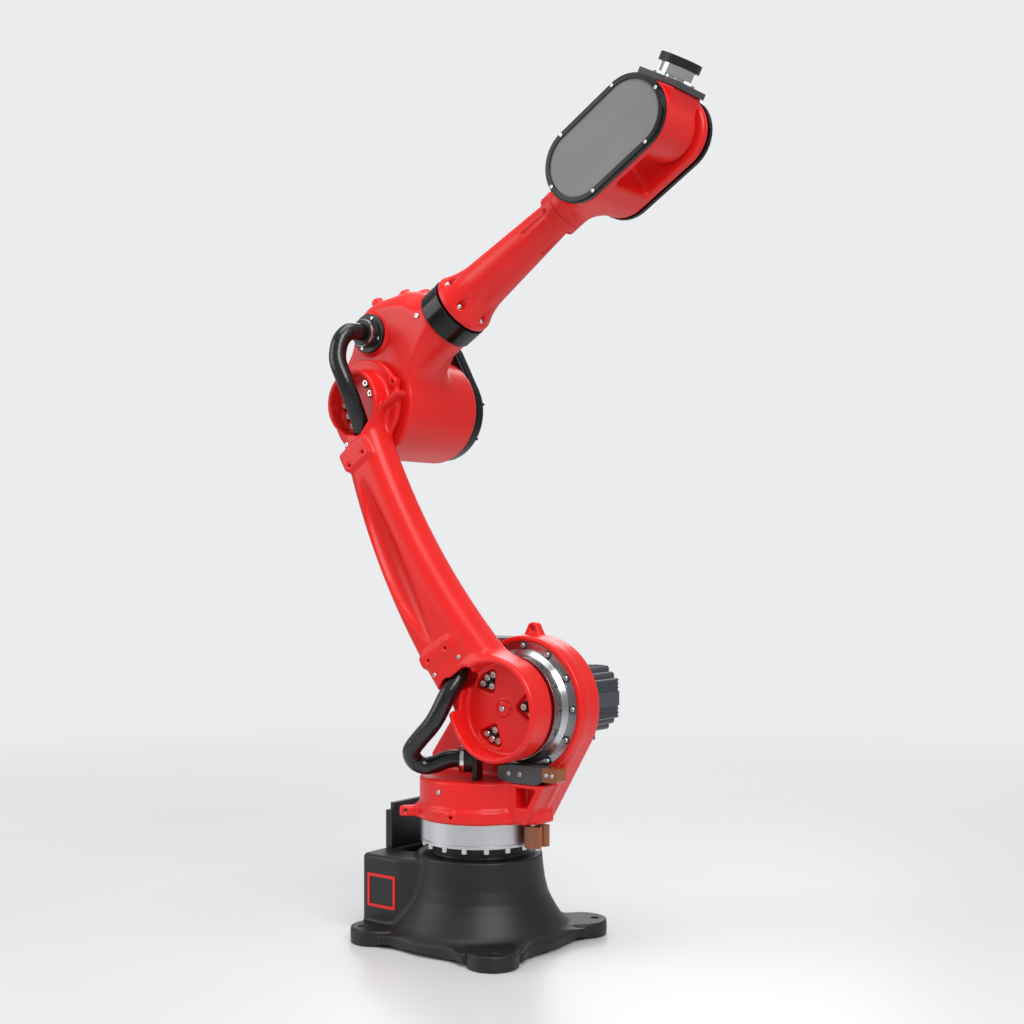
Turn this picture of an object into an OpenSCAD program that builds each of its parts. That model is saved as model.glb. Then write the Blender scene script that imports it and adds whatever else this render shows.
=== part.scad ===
// Six-axis industrial robot arm on a four-footed pedestal, in millimetres.
// +X is forward, +Y is the robot's left, +Z is up. The origin is on the floor, on the slewing axis.

/* [Rest pose] */
// Backward lean of the upper arm from the vertical, degrees
arm_lean = 31.4; // [25:0.1:34]
// Rise of the forearm above the horizontal, degrees
fore_rise = 32; // [28:0.1:36]
// Upward bend of the wrist out of the forearm's line, degrees
wrist_bend = 30; // [20:0.1:40]

/* [Reach] */
// Forward offset of the shoulder axis from the slewing axis
shoulder_x = 108.5; // [106:0.5:111]
// Height of the shoulder axis above the floor
shoulder_z = 427; // [425:0.5:440]
// Distance from the shoulder axis to the elbow axis
arm_len = 642; // [620:1:660]
// Offset of the forearm axis above the elbow axis
elbow_offset = 50; // [46:0.5:54]
// Distance from the elbow axis to the wrist axis along the forearm
fore_len = 733; // [725:1:750]

/* [Fits] */
// Gap between faces that turn past each other
turn_gap = 5; // [5:0.5:7]
// Radial running clearance of a hub in its bore
run_gap = 0.2; // [0.1:0.05:0.4]
// Radial clearance of the elbow's hub in the cast bore of the elbow head
cast_gap = 0.6; // [0.5:0.1:1]
// Clearance of a hose in the cable channel of the arm
channel_gap = 4; // [3.5:0.5:5]
// Clearance of a hose in the mouth of the cable channel
mouth_gap = 7; // [6:0.5:9]
// Gap between a hose's end and its gland
end_gap = 0.3; // [0.2:0.1:0.5]

/* [Pedestal] */
// Spacing of the floor bolts
foot_pitch = 300; // [296:1:304]
// Radius of a floor bolt hole
foot_hole_r = 7; // [6:0.5:9]
// Radius of a foot's rounded end
foot_r = 45; // [42:1:48]
// Distance from a floor bolt inwards to the foot's centre, along the diagonal
foot_inset = 24; // [22:0.5:26]
// Distance from a foot's centre inwards to the straight edge of its pad
pad_inset = 38; // [34:1:42]
// Height of the feet
foot_h = 27.5; // [26:0.5:32]
// Height of the foot plate's underside above the floor
plate_lift = 7; // [4:1:10]
// Height of the foot plate's top above the floor
plate_top = 23; // [20:0.5:25]
// Distance from the centre to the middle of a plate edge
plate_waist = 152; // [148:1:156]
// Radius of the pedestal's foot flare
flare_r = 150; // [146:1:151]
// Curve of the flare: a higher number keeps it slim for longer
flare_curve = 2.2; // [2:0.1:2.6]
// Radius of the pedestal's rim
rim_r = 111; // [109:0.5:113]
// Height of the pedestal's rim above the floor
rim_z = 164; // [160:0.5:166]
// Radius of the neck that carries the slewing ring
neck_r = 86; // [80:0.5:88]
// Rear face of the cable box, behind the slewing axis
box_back = 184; // [180:1:188]
// Width of the cable box
box_w = 236; // [220:1:244]
// Height of the cable box's top above the floor
box_top = 149; // [144:1:152]
// Radius of the cable box's upright corners
box_r = 14; // [8:1:20]
// Radius of the cable box's top edges
box_edge_r = 8; // [5:0.5:10]
// Distance from the box's rear face to the pocket in its top
pocket_back = 22; // [21:1:26]
// Length of the pocket in the box's top
pocket_len = 46; // [40:1:48]
// Width of the pocket in the box's top
pocket_w = 98; // [80:1:104]
// Depth of the pocket in the box's top
pocket_depth = 35; // [20:1:45]

/* [Connector hood] */
// Distance of the hood from the box's rear face
hood_inset = 4; // [3:0.5:5]
// Width of the hood
hood_w = 108; // [90:1:120]
// Thickness of the hood
hood_t = 15; // [10:1:16]
// Height of the hood
hood_h = 70; // [60:1:72]
// Width of the cap on the hood
hood_cap_w = 82; // [60:1:88]
// Thickness of the cap on the hood
hood_cap_t = 9; // [6:1:10]
// Height of the cap on the hood
hood_cap_h = 12; // [8:1:14]

/* [Rating plate] */
// Distance of the plate from the box's rounded corner
tag_inset = 4; // [2:0.5:8]
// Length of the plate
tag_w = 66; // [50:1:72]
// Height of the plate
tag_h = 60; // [40:1:64]
// Thickness of the plate
tag_t = 1.5; // [1:0.1:2]
// Width of the raised border
tag_edge = 5; // [3:0.5:8]

/* [Slewing ring] */
// Radius of the slewing ring
ring_r = 107; // [105:0.5:109]
// Height of the ring's underside above the floor
ring_z = 179; // [176:0.5:181]
// Height of the ring
ring_h = 43.7; // [40:0.1:46]
// Width and depth of the groove in the ring's rim
ring_groove = 1.5; // [1:0.1:2]
// Height of the groove above the ring's underside
ring_groove_z = 5; // [4:0.5:8]
// Number of ring bolts
ring_bolts = 16; // [12:1:20]
// Radius of a ring bolt's head
ring_bolt_r = 5.2; // [4:0.1:6]
// Length of a ring bolt's head
ring_bolt_h = 9.5; // [7:0.5:10]
// Radius of the circle of ring bolts
ring_bolt_pcr = 99; // [97:0.5:100]

/* [Turret] */
// Radius of the turret's flange
flange_r = 114; // [112:0.5:118]
// Thickness of the turret's flange
flange_t = 22; // [18:0.5:26]
// Radius of the turret's drum
drum_r = 109; // [105:0.5:110]
// Height of the turret's drum above the flange
drum_h = 50.7; // [48:0.1:54]
// Radius of the shoulder disc
disc_r = 123.5; // [120:0.5:126]
// Near face of the shoulder web, to the right of the slewing axis
web_near = 6; // [4:0.5:8]
// Far face of the shoulder web, to the left of the slewing axis
web_far = 46; // [42:0.5:50]
// Forward reach of the web's foot
web_front = 132; // [126:0.5:136]
// Height of the web's rear corner above the floor
web_back_z = 326; // [320:1:332]
// Height of the disc's rim above the web's near face
disc_rim = 8; // [6:0.5:9]
// Place where the front gusset starts inside the drum
gusset_back = 84; // [80:1:88]
// Thickness of the gusset's frame round its pocket
gusset_wall = 17; // [14:0.5:20]
// Depth of the gusset's pocket
gusset_depth = 32; // [24:1:34]
// Reach of the stop ear from the slewing axis
ear_reach = 146; // [140:1:150]
// Half width of the stop ear
ear_r = 10; // [9:0.5:14]
// Step of the stop ear below and above the flange faces
ear_step = 2; // [1:0.5:4]
// Direction of the stop ear round the slewing axis, degrees
ear_angle = 228; // [220:1:236]
// Radius of the hole in the stop ear's end
ear_hole_r = 3.6; // [3:0.1:5]
// Margin of the slewing motor's seat round the motor
seat_margin = 11; // [9:0.5:12]
// Corner radius of the slewing motor's seat
seat_r = 18; // [14:1:22]
// Height of the eye on top of the shoulder disc
eye_h = 23; // [18:0.5:26]
// Thickness of the eye
eye_t = 18; // [10:0.5:20]
// Radius of the eye's rounded top
eye_r = 11; // [10:0.5:13]
// Width of the eye's foot
eye_foot = 44; // [38:1:48]
// Radius of the eye's hole
eye_hole_r = 4.5; // [3:0.5:5]

/* [Shoulder drive] */
// Radius of the reducer's barrel
reducer_r = 92; // [90:0.5:94]
// Radius of the reducer's flange
reducer_flange_r = 113; // [110:0.5:114]
// Thickness of the reducer's flange
reducer_flange_t = 7; // [5:0.5:8]
// Radius of the step between the reducer's flange and its barrel
reducer_step_r = 100; // [98:0.5:101]
// Length of the step
reducer_step = 5; // [4:0.5:6]
// Length of the taper from the step to the barrel
reducer_taper = 8; // [6:0.5:10]
// Radius of the output hubs of the shoulder and elbow
hub_r = 46; // [40:0.5:50]
// Depth that an output hub enters its bore
hub_depth = 26; // [20:1:30]
// Number of bolts on the reducer's flange
reducer_bolts = 12; // [8:1:20]
// Radius of a reducer bolt's head
reducer_bolt_r = 4.4; // [3.5:0.1:5]
// Height of a reducer bolt's head
reducer_bolt_h = 5; // [3:0.5:6]
// Side of a servo motor's square flange
motor_side = 120; // [110:1:124]
// Length of a servo motor's flange
motor_flange_t = 12; // [8:1:16]
// Length of the shoulder motor
motor_len = 167; // [150:1:172]
// Width of a cross arm of the motor's body, as a part of the motor's side
motor_arm = 0.62; // [0.58:0.01:0.66]
// Corner radius of the motor's body
motor_edge = 7; // [5:0.5:8]
// Width and depth of a cooling groove
fin_w = 3; // [2:0.5:3.5]
// Spacing of the cooling grooves
fin_pitch = 7; // [6:0.5:8]
// Length of the motor's rear boss
motor_boss_h = 9; // [6:0.5:10]
// Height of a step of the motor's plug
plug_h = 17; // [14:0.5:18]
// Length of the motor's plug
plug_len = 46; // [40:1:50]
// Width of the motor's plug
plug_w = 50; // [40:1:54]
// Side of the slewing motor's square flange
slew_motor_side = 100; // [90:1:104]
// Place of the slewing motor along X
slew_motor_x = -30; // [-34:1:-26]
// Place of the slewing motor along Y
slew_motor_y = 105; // [102:1:108]
// Height of the slewing motor above its seat
slew_motor_len = 243; // [220:1:250]

/* [Stops] */
// Radius of the stop bolts
stop_bolt_r = 4.5; // [4:0.1:5]
// Gap between the slewing stop and its pad, bridged by two bolts
stop_gap = 6; // [4:0.5:8]
// Width of the groove between the slewing stop's two lobes
stop_groove = 6; // [4:0.5:8]
// Corner radius of the slewing stop and its pad
stop_r = 7; // [5:0.5:8]
// Reach of the slewing stop past the web's front foot
stop_reach = 12; // [8:0.5:14]
// Length of the pad over the slewing stop
stop_pad_len = 44; // [40:1:48]
// Margin of that pad round the slewing stop
stop_pad_margin = 4; // [3:0.5:6]
// Place of the shoulder stop's rear end along X
stop_x = 76; // [72:0.5:80]
// Width of the slewing stop across the front of the turret
slew_stop_w = 42; // [36:1:46]
// Depth of the slewing stop
slew_stop_d = 32; // [24:1:34]
// Height of the slewing stop
slew_stop_h = 43; // [34:1:43]
// Length of the shoulder stop's steel block
stop_len = 96; // [88:1:98]
// Height of the shoulder stop
stop_h = 32; // [28:0.5:32]
// Thickness of the shoulder stop
stop_t = 26; // [22:0.5:27]
// Depth of a bolt's counterbore in the shoulder stop
stop_bore = 6; // [5.5:0.5:8]
// Length of the shoulder stop's buffer
buffer_len = 32; // [24:1:36]
// Height of the shoulder stop's buffer
buffer_h = 25; // [20:0.5:27]

/* [Upper arm] */
// Far face of the upper arm, to the right of the slewing axis
arm_far = 51; // [49:0.5:53]
// Thickness of the upper arm casting
arm_t = 60; // [56:0.5:64]
// Bow of the arm's edges to the rear
arm_bow = 42; // [38:0.5:46]
// Radius of the round along the arm's front near edge
arm_round = 22; // [18:0.5:24]
// Radius of the round along the arm's rear near edge
arm_round_rear = 8; // [5:0.5:10]
// Half width of the arm at the shoulder
arm_half_low = 76; // [72:0.5:80]
// Half width of the arm at the elbow
arm_half_high = 36; // [32:0.5:40]
// Radius of the arm's shoulder end
arm_low_r = 92; // [90:0.5:94]
// Radius of the arm's elbow end
arm_high_r = 60; // [57:0.5:63]
// Radius of the open recess at the shoulder end
recess_r = 82; // [79:0.5:84]
// Depth of the open recesses
recess_depth = 42; // [34:0.5:46]
// Number of pockets in the floor of the shoulder recess
arm_pockets = 3; // [2:1:3]
// Direction of the first pocket from the arm's front, degrees
arm_pocket_turn = 94; // [88:1:100]
// Depth of those pockets
arm_pocket_depth = 12; // [8:0.5:13]
// Corner radius of those pockets
arm_pocket_r = 7; // [5:0.5:8]
// Radius of the boss in the middle of the shoulder recess
arm_boss_r = 14; // [12:0.5:16]
// Height of that boss
arm_boss_h = 5; // [3:0.5:6]
// Half width of the elbow window
window_r = 46; // [42:0.5:49]
// Length of the straight part of the elbow window
window_len = 44; // [36:0.5:50]
// Reach of the elbow window past the elbow axis
window_reach = 12; // [8:0.5:14]
// Slant of the elbow window, degrees
window_slant = 8; // [6:0.5:10]
// Radius of the elbow end's rear flange
arm_flange_r = 84; // [80:0.5:86]
// Thickness of that flange
arm_flange_t = 13; // [10:0.5:14]
// Radius of the lug on that flange
arm_lug_r = 9; // [7:0.5:9.5]
// Radius of the lug's hole
arm_lug_hole_r = 3.5; // [2.5:0.5:4]
// Height of the two pads on the arm's near face
arm_pad_h = 3.5; // [2:0.5:4]
// Corner radius of those pads
arm_pad_r = 8; // [6:0.5:10]
// Radius of the holes in those pads
arm_pad_hole_r = 3.2; // [2.5:0.1:4]
// Depth of the holes in those pads
arm_pad_hole = 12; // [8:0.5:14]
// Length of the spindle-shaped groove in the arm's near face
groove_len = 380; // [360:1:400]
// Radius of that groove's spindle at its middle
groove_r = 26; // [22:0.5:28]
// Height of that spindle's axis above the near face
groove_lift = 7; // [5:0.5:9]
// Radius of a screw head in the arm's recesses
arm_screw_r = 6.2; // [5:0.1:6.4]
// Height of a screw head in the arm's recesses
arm_screw_h = 6; // [4:0.5:8]

// Distance of the cable channel's ends from the shoulder axis and the elbow axis
channel_end = 50; // [46:1:52]
// Place of the cable channel at the shoulder, behind the arm's line
channel_low = 42; // [40:0.5:44]
// Place of the cable channel at the elbow, behind the arm's line
channel_high = 15; // [13:0.5:17]

/* [Elbow] */
// Radius of the elbow drum
elbow_r = 101; // [98:0.5:104]
// Radius of the machined near face round the elbow axis
elbow_face_r = 125; // [120:1:130]
// Far end of the elbow drum, to the left of the slewing axis
elbow_far = 150; // [140:1:154]
// Far side of the elbow head, to the left of the slewing axis
head_far = 66; // [60:0.5:72]
// Radius of the elbow head's side
head_r = 80; // [76:0.5:84]
// Place of the elbow head's centre along the forearm
head_x = 76; // [72:0.5:80]
// Height of the elbow head's centre above the elbow axis
head_z = 72; // [68:0.5:76]
// Start of the forearm's bearing ring along the forearm
collar_x = 204; // [200:0.5:208]
// Length of the bearing ring
collar_len = 40; // [36:0.5:42]
// Radius of the bearing ring
collar_r = 60; // [58:0.5:62]
// Thickness of the drive cover on the elbow drum
cap_t = 38; // [30:0.5:42]
// Radius of the drive cover's round ends
cap_r = 95; // [90:0.5:97]
// Distance between the centres of the drive cover's round ends
cap_len = 78; // [70:1:84]
// Slant of the drive cover from the elbow's upright, degrees
cap_slant = 4; // [0:1:8]
// Height of the raised middle of the drive cover
cap_step = 6; // [4:0.5:10]
// Radius of the bosses on top of the elbow head
head_boss_r = 12; // [10:0.5:14]
// Radius of the crown on the elbow head
crown_r = 40; // [36:0.5:44]
// Place of the crown along the forearm, from the head's centre
crown_x = 20; // [16:0.5:24]
// Height of the crown above the head's centre
crown_z = 60; // [56:0.5:64]
// Radius of the forearm's hub
fore_hub_r = 36; // [32:0.5:40]

/* [Forearm] */
// Length of the forearm's bell from the bearing ring to the tube
bell_len = 60; // [50:0.5:66]
// Radius of the tube at the bell
tube_r = 42; // [40:0.5:44]
// Radius of the tube at the wrist
tube_end_r = 31; // [29:0.5:33]
// Distance from the wrist axis back to the tube's end
tube_back = 238; // [234:0.5:244]
// Straight length of the bell's rim
bell_rim = 8; // [6:0.5:10]
// Set-back of the bell's rim inside the bearing ring
bell_step = 1; // [0.5:0.5:2]
// Radius of a screw pocket in the bell
bell_pocket_r = 6.5; // [5:0.5:7]
// Number of screw pockets round the bell
bell_pockets = 6; // [4:1:8]
// Distance from the bell's rear face to the floor of its screw pockets
bell_floor = 17; // [14:0.5:20]
// Radius of the collar at the wrist
neck_collar_r = 40; // [38:0.5:42]
// Length of the collar at the wrist
neck_collar_len = 25; // [20:0.5:28]

/* [Wrist] */
// Radius of the wrist cheeks' round ends
cheek_r = 65; // [62:0.5:67]
// Distance between the centres of a cheek's round ends
cheek_len = 119; // [114:0.5:122]
// Half of the gap between the cheeks
fork_half = 50; // [49:0.5:52]
// Thickness of a cheek
cheek_t = 20; // [18:0.5:22]
// Thickness of a cheek's cover
cover_t = 10; // [8:0.5:12]
// Width of the cover's frame
cover_edge = 9; // [7:0.5:12]
// Overhang of the cover's frame past the cheek
cover_lip = 1; // [0.5:0.5:2]
// Set-back of the frame's upper step and of the panel
cover_step = 2; // [1.5:0.5:3]
// Radius of a cover screw's head
cover_screw_r = 3; // [2.5:0.5:3.5]
// Distance from the wrist axis back to the floor of the fork
fork_depth = 92; // [90:0.5:96]
// Half width of the wrist head
tilt_half = 44.5; // [43:0.5:45]
// Radius of the wrist head about the wrist axis
tilt_r = 54; // [50:0.5:56]
// Gap between a trunnion's end and the cover
trunnion_gap = 2; // [1:0.5:3]
// Set-back of the wrist head's block from the tool plate's edge
tilt_step = 3; // [2:0.5:5]
// Depth of the tool shaft's bore in the wrist head
shaft_bore = 20; // [18:0.5:24]
// Radius of the trunnions of the wrist head
trunnion_r = 24; // [20:0.5:26]
// Length of a side of the tool plate in the bending plane
plate_side = 82; // [76:0.5:84]
// Thickness of the tool plate
plate_t = 10; // [8:0.5:11]
// Distance from the wrist axis to the tool plate's underside
plate_x = 66; // [64:0.5:68]

/* [Tool flange] */
// Radius of the tool flange's disc
tool_r = 36.5; // [34:0.5:38]
// Thickness of the tool flange's disc
tool_t = 14; // [12:0.5:15]
// Radius of the flange hub
tool_hub_r = 30; // [26:0.5:32]
// Length of the flange hub
tool_hub_len = 17; // [15:0.5:19]
// Depth that the tool shaft enters the wrist head
shaft_depth = 15; // [10:0.5:17]
// Radius of the tool shaft
tool_shaft_r = 18; // [14:0.5:20]
// Radius of the circle of tool bolt holes
tool_pcr = 25; // [22:0.5:27]
// Radius of a tool bolt hole
tool_hole_r = 3.3; // [2.5:0.1:3.5]
// Depth of a tool bolt hole
tool_hole_depth = 10; // [8:0.5:11]

/* [Hoses] */
// Radius of the turret gland's collar
turret_gland_r = 25; // [24:0.5:27]
// Thickness of the turret gland's bracket
bracket_t = 8; // [6:0.5:9]
// Width of the turret gland's bracket
bracket_w = 46; // [42:1:48]
// Height of the turret gland's axis above the drum
bracket_z = 35.5; // [34:0.5:37]
// Height of the bracket's top above the gland's axis
bracket_top = 22; // [18:0.5:23]
// Place of the elbow's hose gland behind the head's centre
gland_x = 2; // [0:0.5:4]
// Height of the elbow's hose gland above the head's centre
gland_z = 38; // [36:0.5:40]
// Height of the boss under the elbow's hose gland
boss_h = 6; // [5:0.5:8]
// Radius of the hoses
hose_r = 19; // [17:0.5:19.5]
// Radius of a hose gland's flange
gland_r = 37; // [34:0.5:38]
// Thickness of a hose gland's flange
gland_t = 8; // [6:0.5:10]
// Radius of a hose gland's sleeve
gland_sleeve_r = 24; // [22:0.5:26]
// Length of a hose gland's sleeve
gland_sleeve_len = 18; // [14:0.5:22]

/* [Hidden] */
$fn = 64;
flare_steps = 10;
bell_steps = 8;
bell_curve = 1.8;
eps = 0.5;
red = "#d8201f";
black = "#26272a";
silver = "#c4c6c9";
bronze = "#9a6233";
grey = "#77787a";
turret_z = ring_z + ring_h;
drum_top = turret_z + flange_t + drum_h;
seat_z = box_top + hood_h + hood_cap_h + turn_gap + ear_step;
foot_reach = foot_pitch / sqrt(2) - foot_inset;
reducer_near = web_near + reducer_flange_t;
barrel_near = arm_far - turn_gap;
arm_near = arm_far + arm_t;
recess_floor = arm_near - recess_depth;
channel_r = hose_r + channel_gap;
channel_y = -(arm_near + arm_far) / 2;
fork_outer = fork_half + cheek_t;
tool_plate_top = plate_x + plate_t;
tool_hub_x = tool_plate_top + turn_gap;
tool_disc_x = tool_hub_x + tool_hub_len;
tool_face_x = tool_disc_x + tool_t;
bell_x = collar_x + collar_len + turn_gap;
hood_x = -box_back + hood_inset;
tube_end = fore_len - tube_back;
stop_y = -barrel_near;
slew_stop_x = web_front + stop_reach - slew_stop_d / 2;
slew_lobe_w = (slew_stop_w - stop_groove) / 2;
bell_pocket_at = collar_r - bell_step - bell_rim;
pocket_floor = recess_floor - arm_pocket_depth;
cover_screw_at = cheek_r - cover_edge / 2;

// Points of the arm's and the elbow's own frames, in the frame of the part.
function in_arm(p) = [shoulder_x + p[0] * cos(arm_lean) - p[2] * sin(arm_lean), p[1],
  shoulder_z + p[0] * sin(arm_lean) + p[2] * cos(arm_lean)];
elbow_at = in_arm([0, 0, arm_len]);
function in_elbow(p) = elbow_at + [p[0] * cos(fore_rise) - p[2] * sin(fore_rise), p[1],
  p[0] * sin(fore_rise) + p[2] * cos(fore_rise)];

// Points on the axes of the two hose glands, at a distance past the gland's end.
gland_len = gland_t + gland_sleeve_len + end_gap;
turret_gland_at = [28.5, -49, drum_top + bracket_z];
turret_gland_way = 205;
elbow_gland_at = [head_x - gland_x, -barrel_near - boss_h, head_z + gland_z];
function off_turret(d) = turret_gland_at + (gland_len + d) * [cos(turret_gland_way),
  sin(turret_gland_way), 0];
function off_elbow(d) = in_elbow(elbow_gland_at - [0, gland_len + d, 0]);

// Routes of the hoses, from each gland into the arm's cable channel, and the channel's mouth at the
// shoulder.
mouth_out = [-97, -130, 34];
mouth_in = [-40, -83, 86];
lower_route = [
  off_turret(0), off_turret(10), [-25, -74, 326], [-53, -104, 331], [-56, -120, 342],
  in_arm([-141, -140, 33]), in_arm(mouth_out), in_arm(mouth_in), in_arm([-39, -81, 110]),
    in_arm([-38, -81, 134])
];
upper_route = [
  off_elbow(0), off_elbow(6), in_elbow([69, -106, 110]), in_elbow([59, -121, 105]),
    in_elbow([33, -137, 77]),
  in_arm([21, -132, arm_len + 26]), in_arm([0, -107, arm_len - 28]), in_arm([-17, -84, arm_len - 70]),
  in_arm([-19, -81, arm_len - 102]), in_arm([-21, -81, arm_len - 142])
];

// Places on the arm, across and along it: screws beside the hose in the elbow window, screws of a pocket
// in the shoulder recess, the two pads on the near face with their half sizes, the holes in them and
// the lug.
window_screws = [[-36, 20], [-38, -2], [-38, -24], [30, 26], [30, 3], [30, -20]];
pocket_screws = [[44, 0], [59, -14], [62, 0], [59, 14]];
pocket_corners = [[39, 0], [60, 18], [64, 0], [60, -18]];
pocket_mid = [-6, 0, 4];
arm_pads = [[-33, arm_len - 94, 70, 40], [-52, 141, 82, 26]];
arm_pad_holes = [[-14, arm_len - 102], [-54, arm_len - 105], [-29, 139], [-74, 138]];
arm_lug = [81, arm_len - 6];
groove_mid = [-57, arm_len / 2 + 11];

// Bosses on top of the elbow head: place along the forearm, place across it and height of the top.
head_bosses = [[84, 4, 192], [150, 2, 160], [collar_x - head_boss_r - cast_gap, 0, 128]];

// Places a child in the frame of the upper arm, +Z towards the elbow.
module at_arm() translate([shoulder_x, 0, shoulder_z]) rotate([0, -arm_lean, 0]) children();

// Places a child in the frame of the elbow, +X along the forearm.
module at_elbow() at_arm() translate([0, 0, arm_len]) rotate([0, arm_lean - fore_rise, 0]) children();

// Places a child in the frame of the wrist axis, +X along the forearm.
module at_wrist() at_elbow() translate([fore_len, 0, elbow_offset]) children();

// Places a child in the frame of the tool, +X along the tool's axis.
module at_tool() at_wrist() rotate([0, -wrist_bend, 0]) children();

// Cylinder along Y between two places.
module y_cyl(y0, y1, r) translate([0, y0, 0]) rotate([-90, 0, 0]) cylinder(h = y1 - y0, r = r);

// Cylinder along X between two places.
module x_cyl(x0, x1, r) translate([x0, 0, 0]) rotate([0, 90, 0]) cylinder(h = x1 - x0, r = r);

// Extrudes an outline drawn in X and Z along Y between two places.
module y_slab(y0, y1) translate([0, y1, 0]) rotate([90, 0, 0]) linear_extrude(y1 - y0) children();

// Rectangle with rounded corners, centred on the origin.
module round_rect(w, h, r) {
  square([w - 2 * r, h], center = true);
  square([w, h - 2 * r], center = true);
  for (i = [-1, 1], j = [-1, 1]) translate([i * (w / 2 - r), j * (h / 2 - r)]) circle(r);
}

// Extrudes an outline drawn in Y and Z along X between two places.
module x_slab(x0, x1) translate([x0, 0, 0]) rotate([90, 0, 90]) linear_extrude(x1 - x0) children();

// Obround with one centre on the origin and the other behind it.
module obround(len, r) {
  circle(r);
  translate([-len, 0]) circle(r);
  translate([-len, -r]) square([len, 2 * r]);
}

// Point where a line from p touches a circle, on the left (1) or the right (-1) of the line's way.
function touch(p, c, r, side) =
  let (d = c - p, l = norm(d), a = atan2(d[1], d[0]) + side * asin(r / l), m = sqrt(l * l - r * r))
  p + m * [cos(a), sin(a)];

// Radius and centre of the arc that bows to the rear by a height between two points.
function bow_r(p, q, h) = (norm(q - p) * norm(q - p) / 4 + h * h) / (2 * h);
function bow_centre(p, q, h) = let (d = (q - p) / norm(q - p)) (p +
  q) / 2 + (bow_r(p, q, h) - h) * [d[1], -d[0]];

// Way of a route at one of its points, turned more to the shorter of the two chords that meet there.
function way(p, i) =
  i == 0 ? (p[1] - p[0]) / norm(p[1] - p[0]) :
  i == len(p) - 1 ? (p[i] - p[i - 1]) / norm(p[i] - p[i - 1]) :
  let (a = p[i] - p[i - 1], b = p[i + 1] - p[i], m = norm(a), n = norm(b)) (a * n / m +
    b * m / n) / (m + n);

// Smooth curve through the points of a route.
function spline(p, i, t) =
  let (b = p[i], c = p[i + 1], l = norm(c - b), tt = t * t, ttt = tt * t)
  (1 - 3 * tt + 2 * ttt) * b + (3 * tt - 2 * ttt) * c
  + l * ((t - 2 * tt + ttt) * way(p, i) + (ttt - tt) * way(p, i + 1));

// Round hose along a route, with flat ends.
module hose(route, r, steps = 6, sides = 12) {
  n = (len(route) - 1) * steps;
  path = [for (k = [0:n]) spline(route, min(floor(k / steps), len(route) - 2),
    k == n ? 1 : (k % steps) / steps)];
  tangents = [for (k = [0:n]) let (d = path[min(k + 1, n)] - path[max(k - 1, 0)]) d / norm(d)];
  side_ref = [0.8, 0.6, 0];
  points = [for (k = [0:n]) let (u0 = cross(tangents[k], side_ref), u =
    u0 / norm(u0), v = cross(tangents[k], u))
    for (j = [0:sides - 1]) path[k] + r * (cos(360 * j / sides) * u + sin(360 * j / sides) * v)];
  walls = [for (k = [0:n - 1], j = [0:sides - 1]) let (a = k * sides + j, b = k * sides + (j + 1) % sides)
    [a, b, b + sides, a + sides]];
  first = [for (j = [sides - 1:-1:0]) j];
  last = [for (j = [0:sides - 1]) n * sides + j];
  polyhedron(points, concat([first], [last], walls));
}

// Foot plate outline with hollow sides between the four feet.
module foot_plate() {
  corner = foot_reach / sqrt(2);
  side = corner + foot_r;
  sag = side - plate_waist;
  bay = corner - foot_r / 2;
  hollow_r = (bay * bay + sag * sag) / (2 * sag);
  difference() {
    square(2 * side, center = true);
    for (a = [0:90:270]) rotate(a) translate([plate_waist + hollow_r, 0]) circle(hollow_r, $fn = 180);
    for (a = [45:90:315]) rotate(a) difference() {
      translate([foot_reach, -2 * foot_r]) square([4 * foot_r, 4 * foot_r]);
      translate([foot_reach, 0]) circle(foot_r);
    }
  }
}

// Cable box behind the pedestal: three elevations that meet, with rounded corners and top edges.
module cable_box() intersection() {
  h = box_top - plate_top;
  translate([-box_back / 2, 0, plate_top]) linear_extrude(h) round_rect(box_back, box_w, box_r);
  y_slab(-box_w, box_w) translate([-box_back / 2, plate_top]) round_rect(box_back, 2 * h, box_edge_r);
  x_slab(-2 * box_back, box_back) translate([0, plate_top]) round_rect(box_w, 2 * h, box_edge_r);
}

// Foot pad along the diagonal, with a straight inner edge.
module foot_pad() {
  translate([foot_reach, 0]) circle(foot_r);
  translate([foot_reach - pad_inset, -foot_r]) square([pad_inset, 2 * foot_r]);
}

module pedestal() color(black) difference() {
  union() {
    translate([0, 0, plate_lift]) linear_extrude(plate_top - plate_lift) foot_plate();
    for (a = [45:90:315]) rotate(a) linear_extrude(foot_h) foot_pad();
    rotate_extrude() polygon(concat(
      [[0, plate_lift], [flare_r, plate_lift]],
      [for (k = [0:flare_steps]) let (t = k / flare_steps)
        [rim_r + (flare_r - rim_r) * pow(1 - t, flare_curve), plate_top + (rim_z - plate_top) * t]],
      [[0, rim_z]]));
    cylinder(h = ring_z + ring_h / 2, r = neck_r);
    cable_box();
  }
  for (i = [-1, 1], j = [-1, 1]) translate([i * foot_pitch / 2, j * foot_pitch / 2, -eps])
    cylinder(h = foot_h + 2 * eps, r = foot_hole_r);
  translate([-box_back + pocket_back, -pocket_w / 2, box_top - pocket_depth])
    cube([pocket_len, pocket_w, 2 * pocket_depth]);
}

module connector_hood() color(black) translate([hood_x, 0, box_top]) {
  translate([0, -hood_w / 2, 0]) cube([hood_t, hood_w, hood_h]);
  translate([0, -hood_cap_w / 2, hood_h]) cube([hood_cap_t, hood_cap_w, hood_cap_h]);
}

module rating_plate() color(red) translate([-box_back + box_r + tag_w / 2 +
  tag_inset, -box_w / 2, (plate_top + box_top) / 2])
  y_slab(-tag_t, 0) difference() {
    square([tag_w, tag_h], center = true);
    square([tag_w - 2 * tag_edge, tag_h - 2 * tag_edge], center = true);
  }

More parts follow.
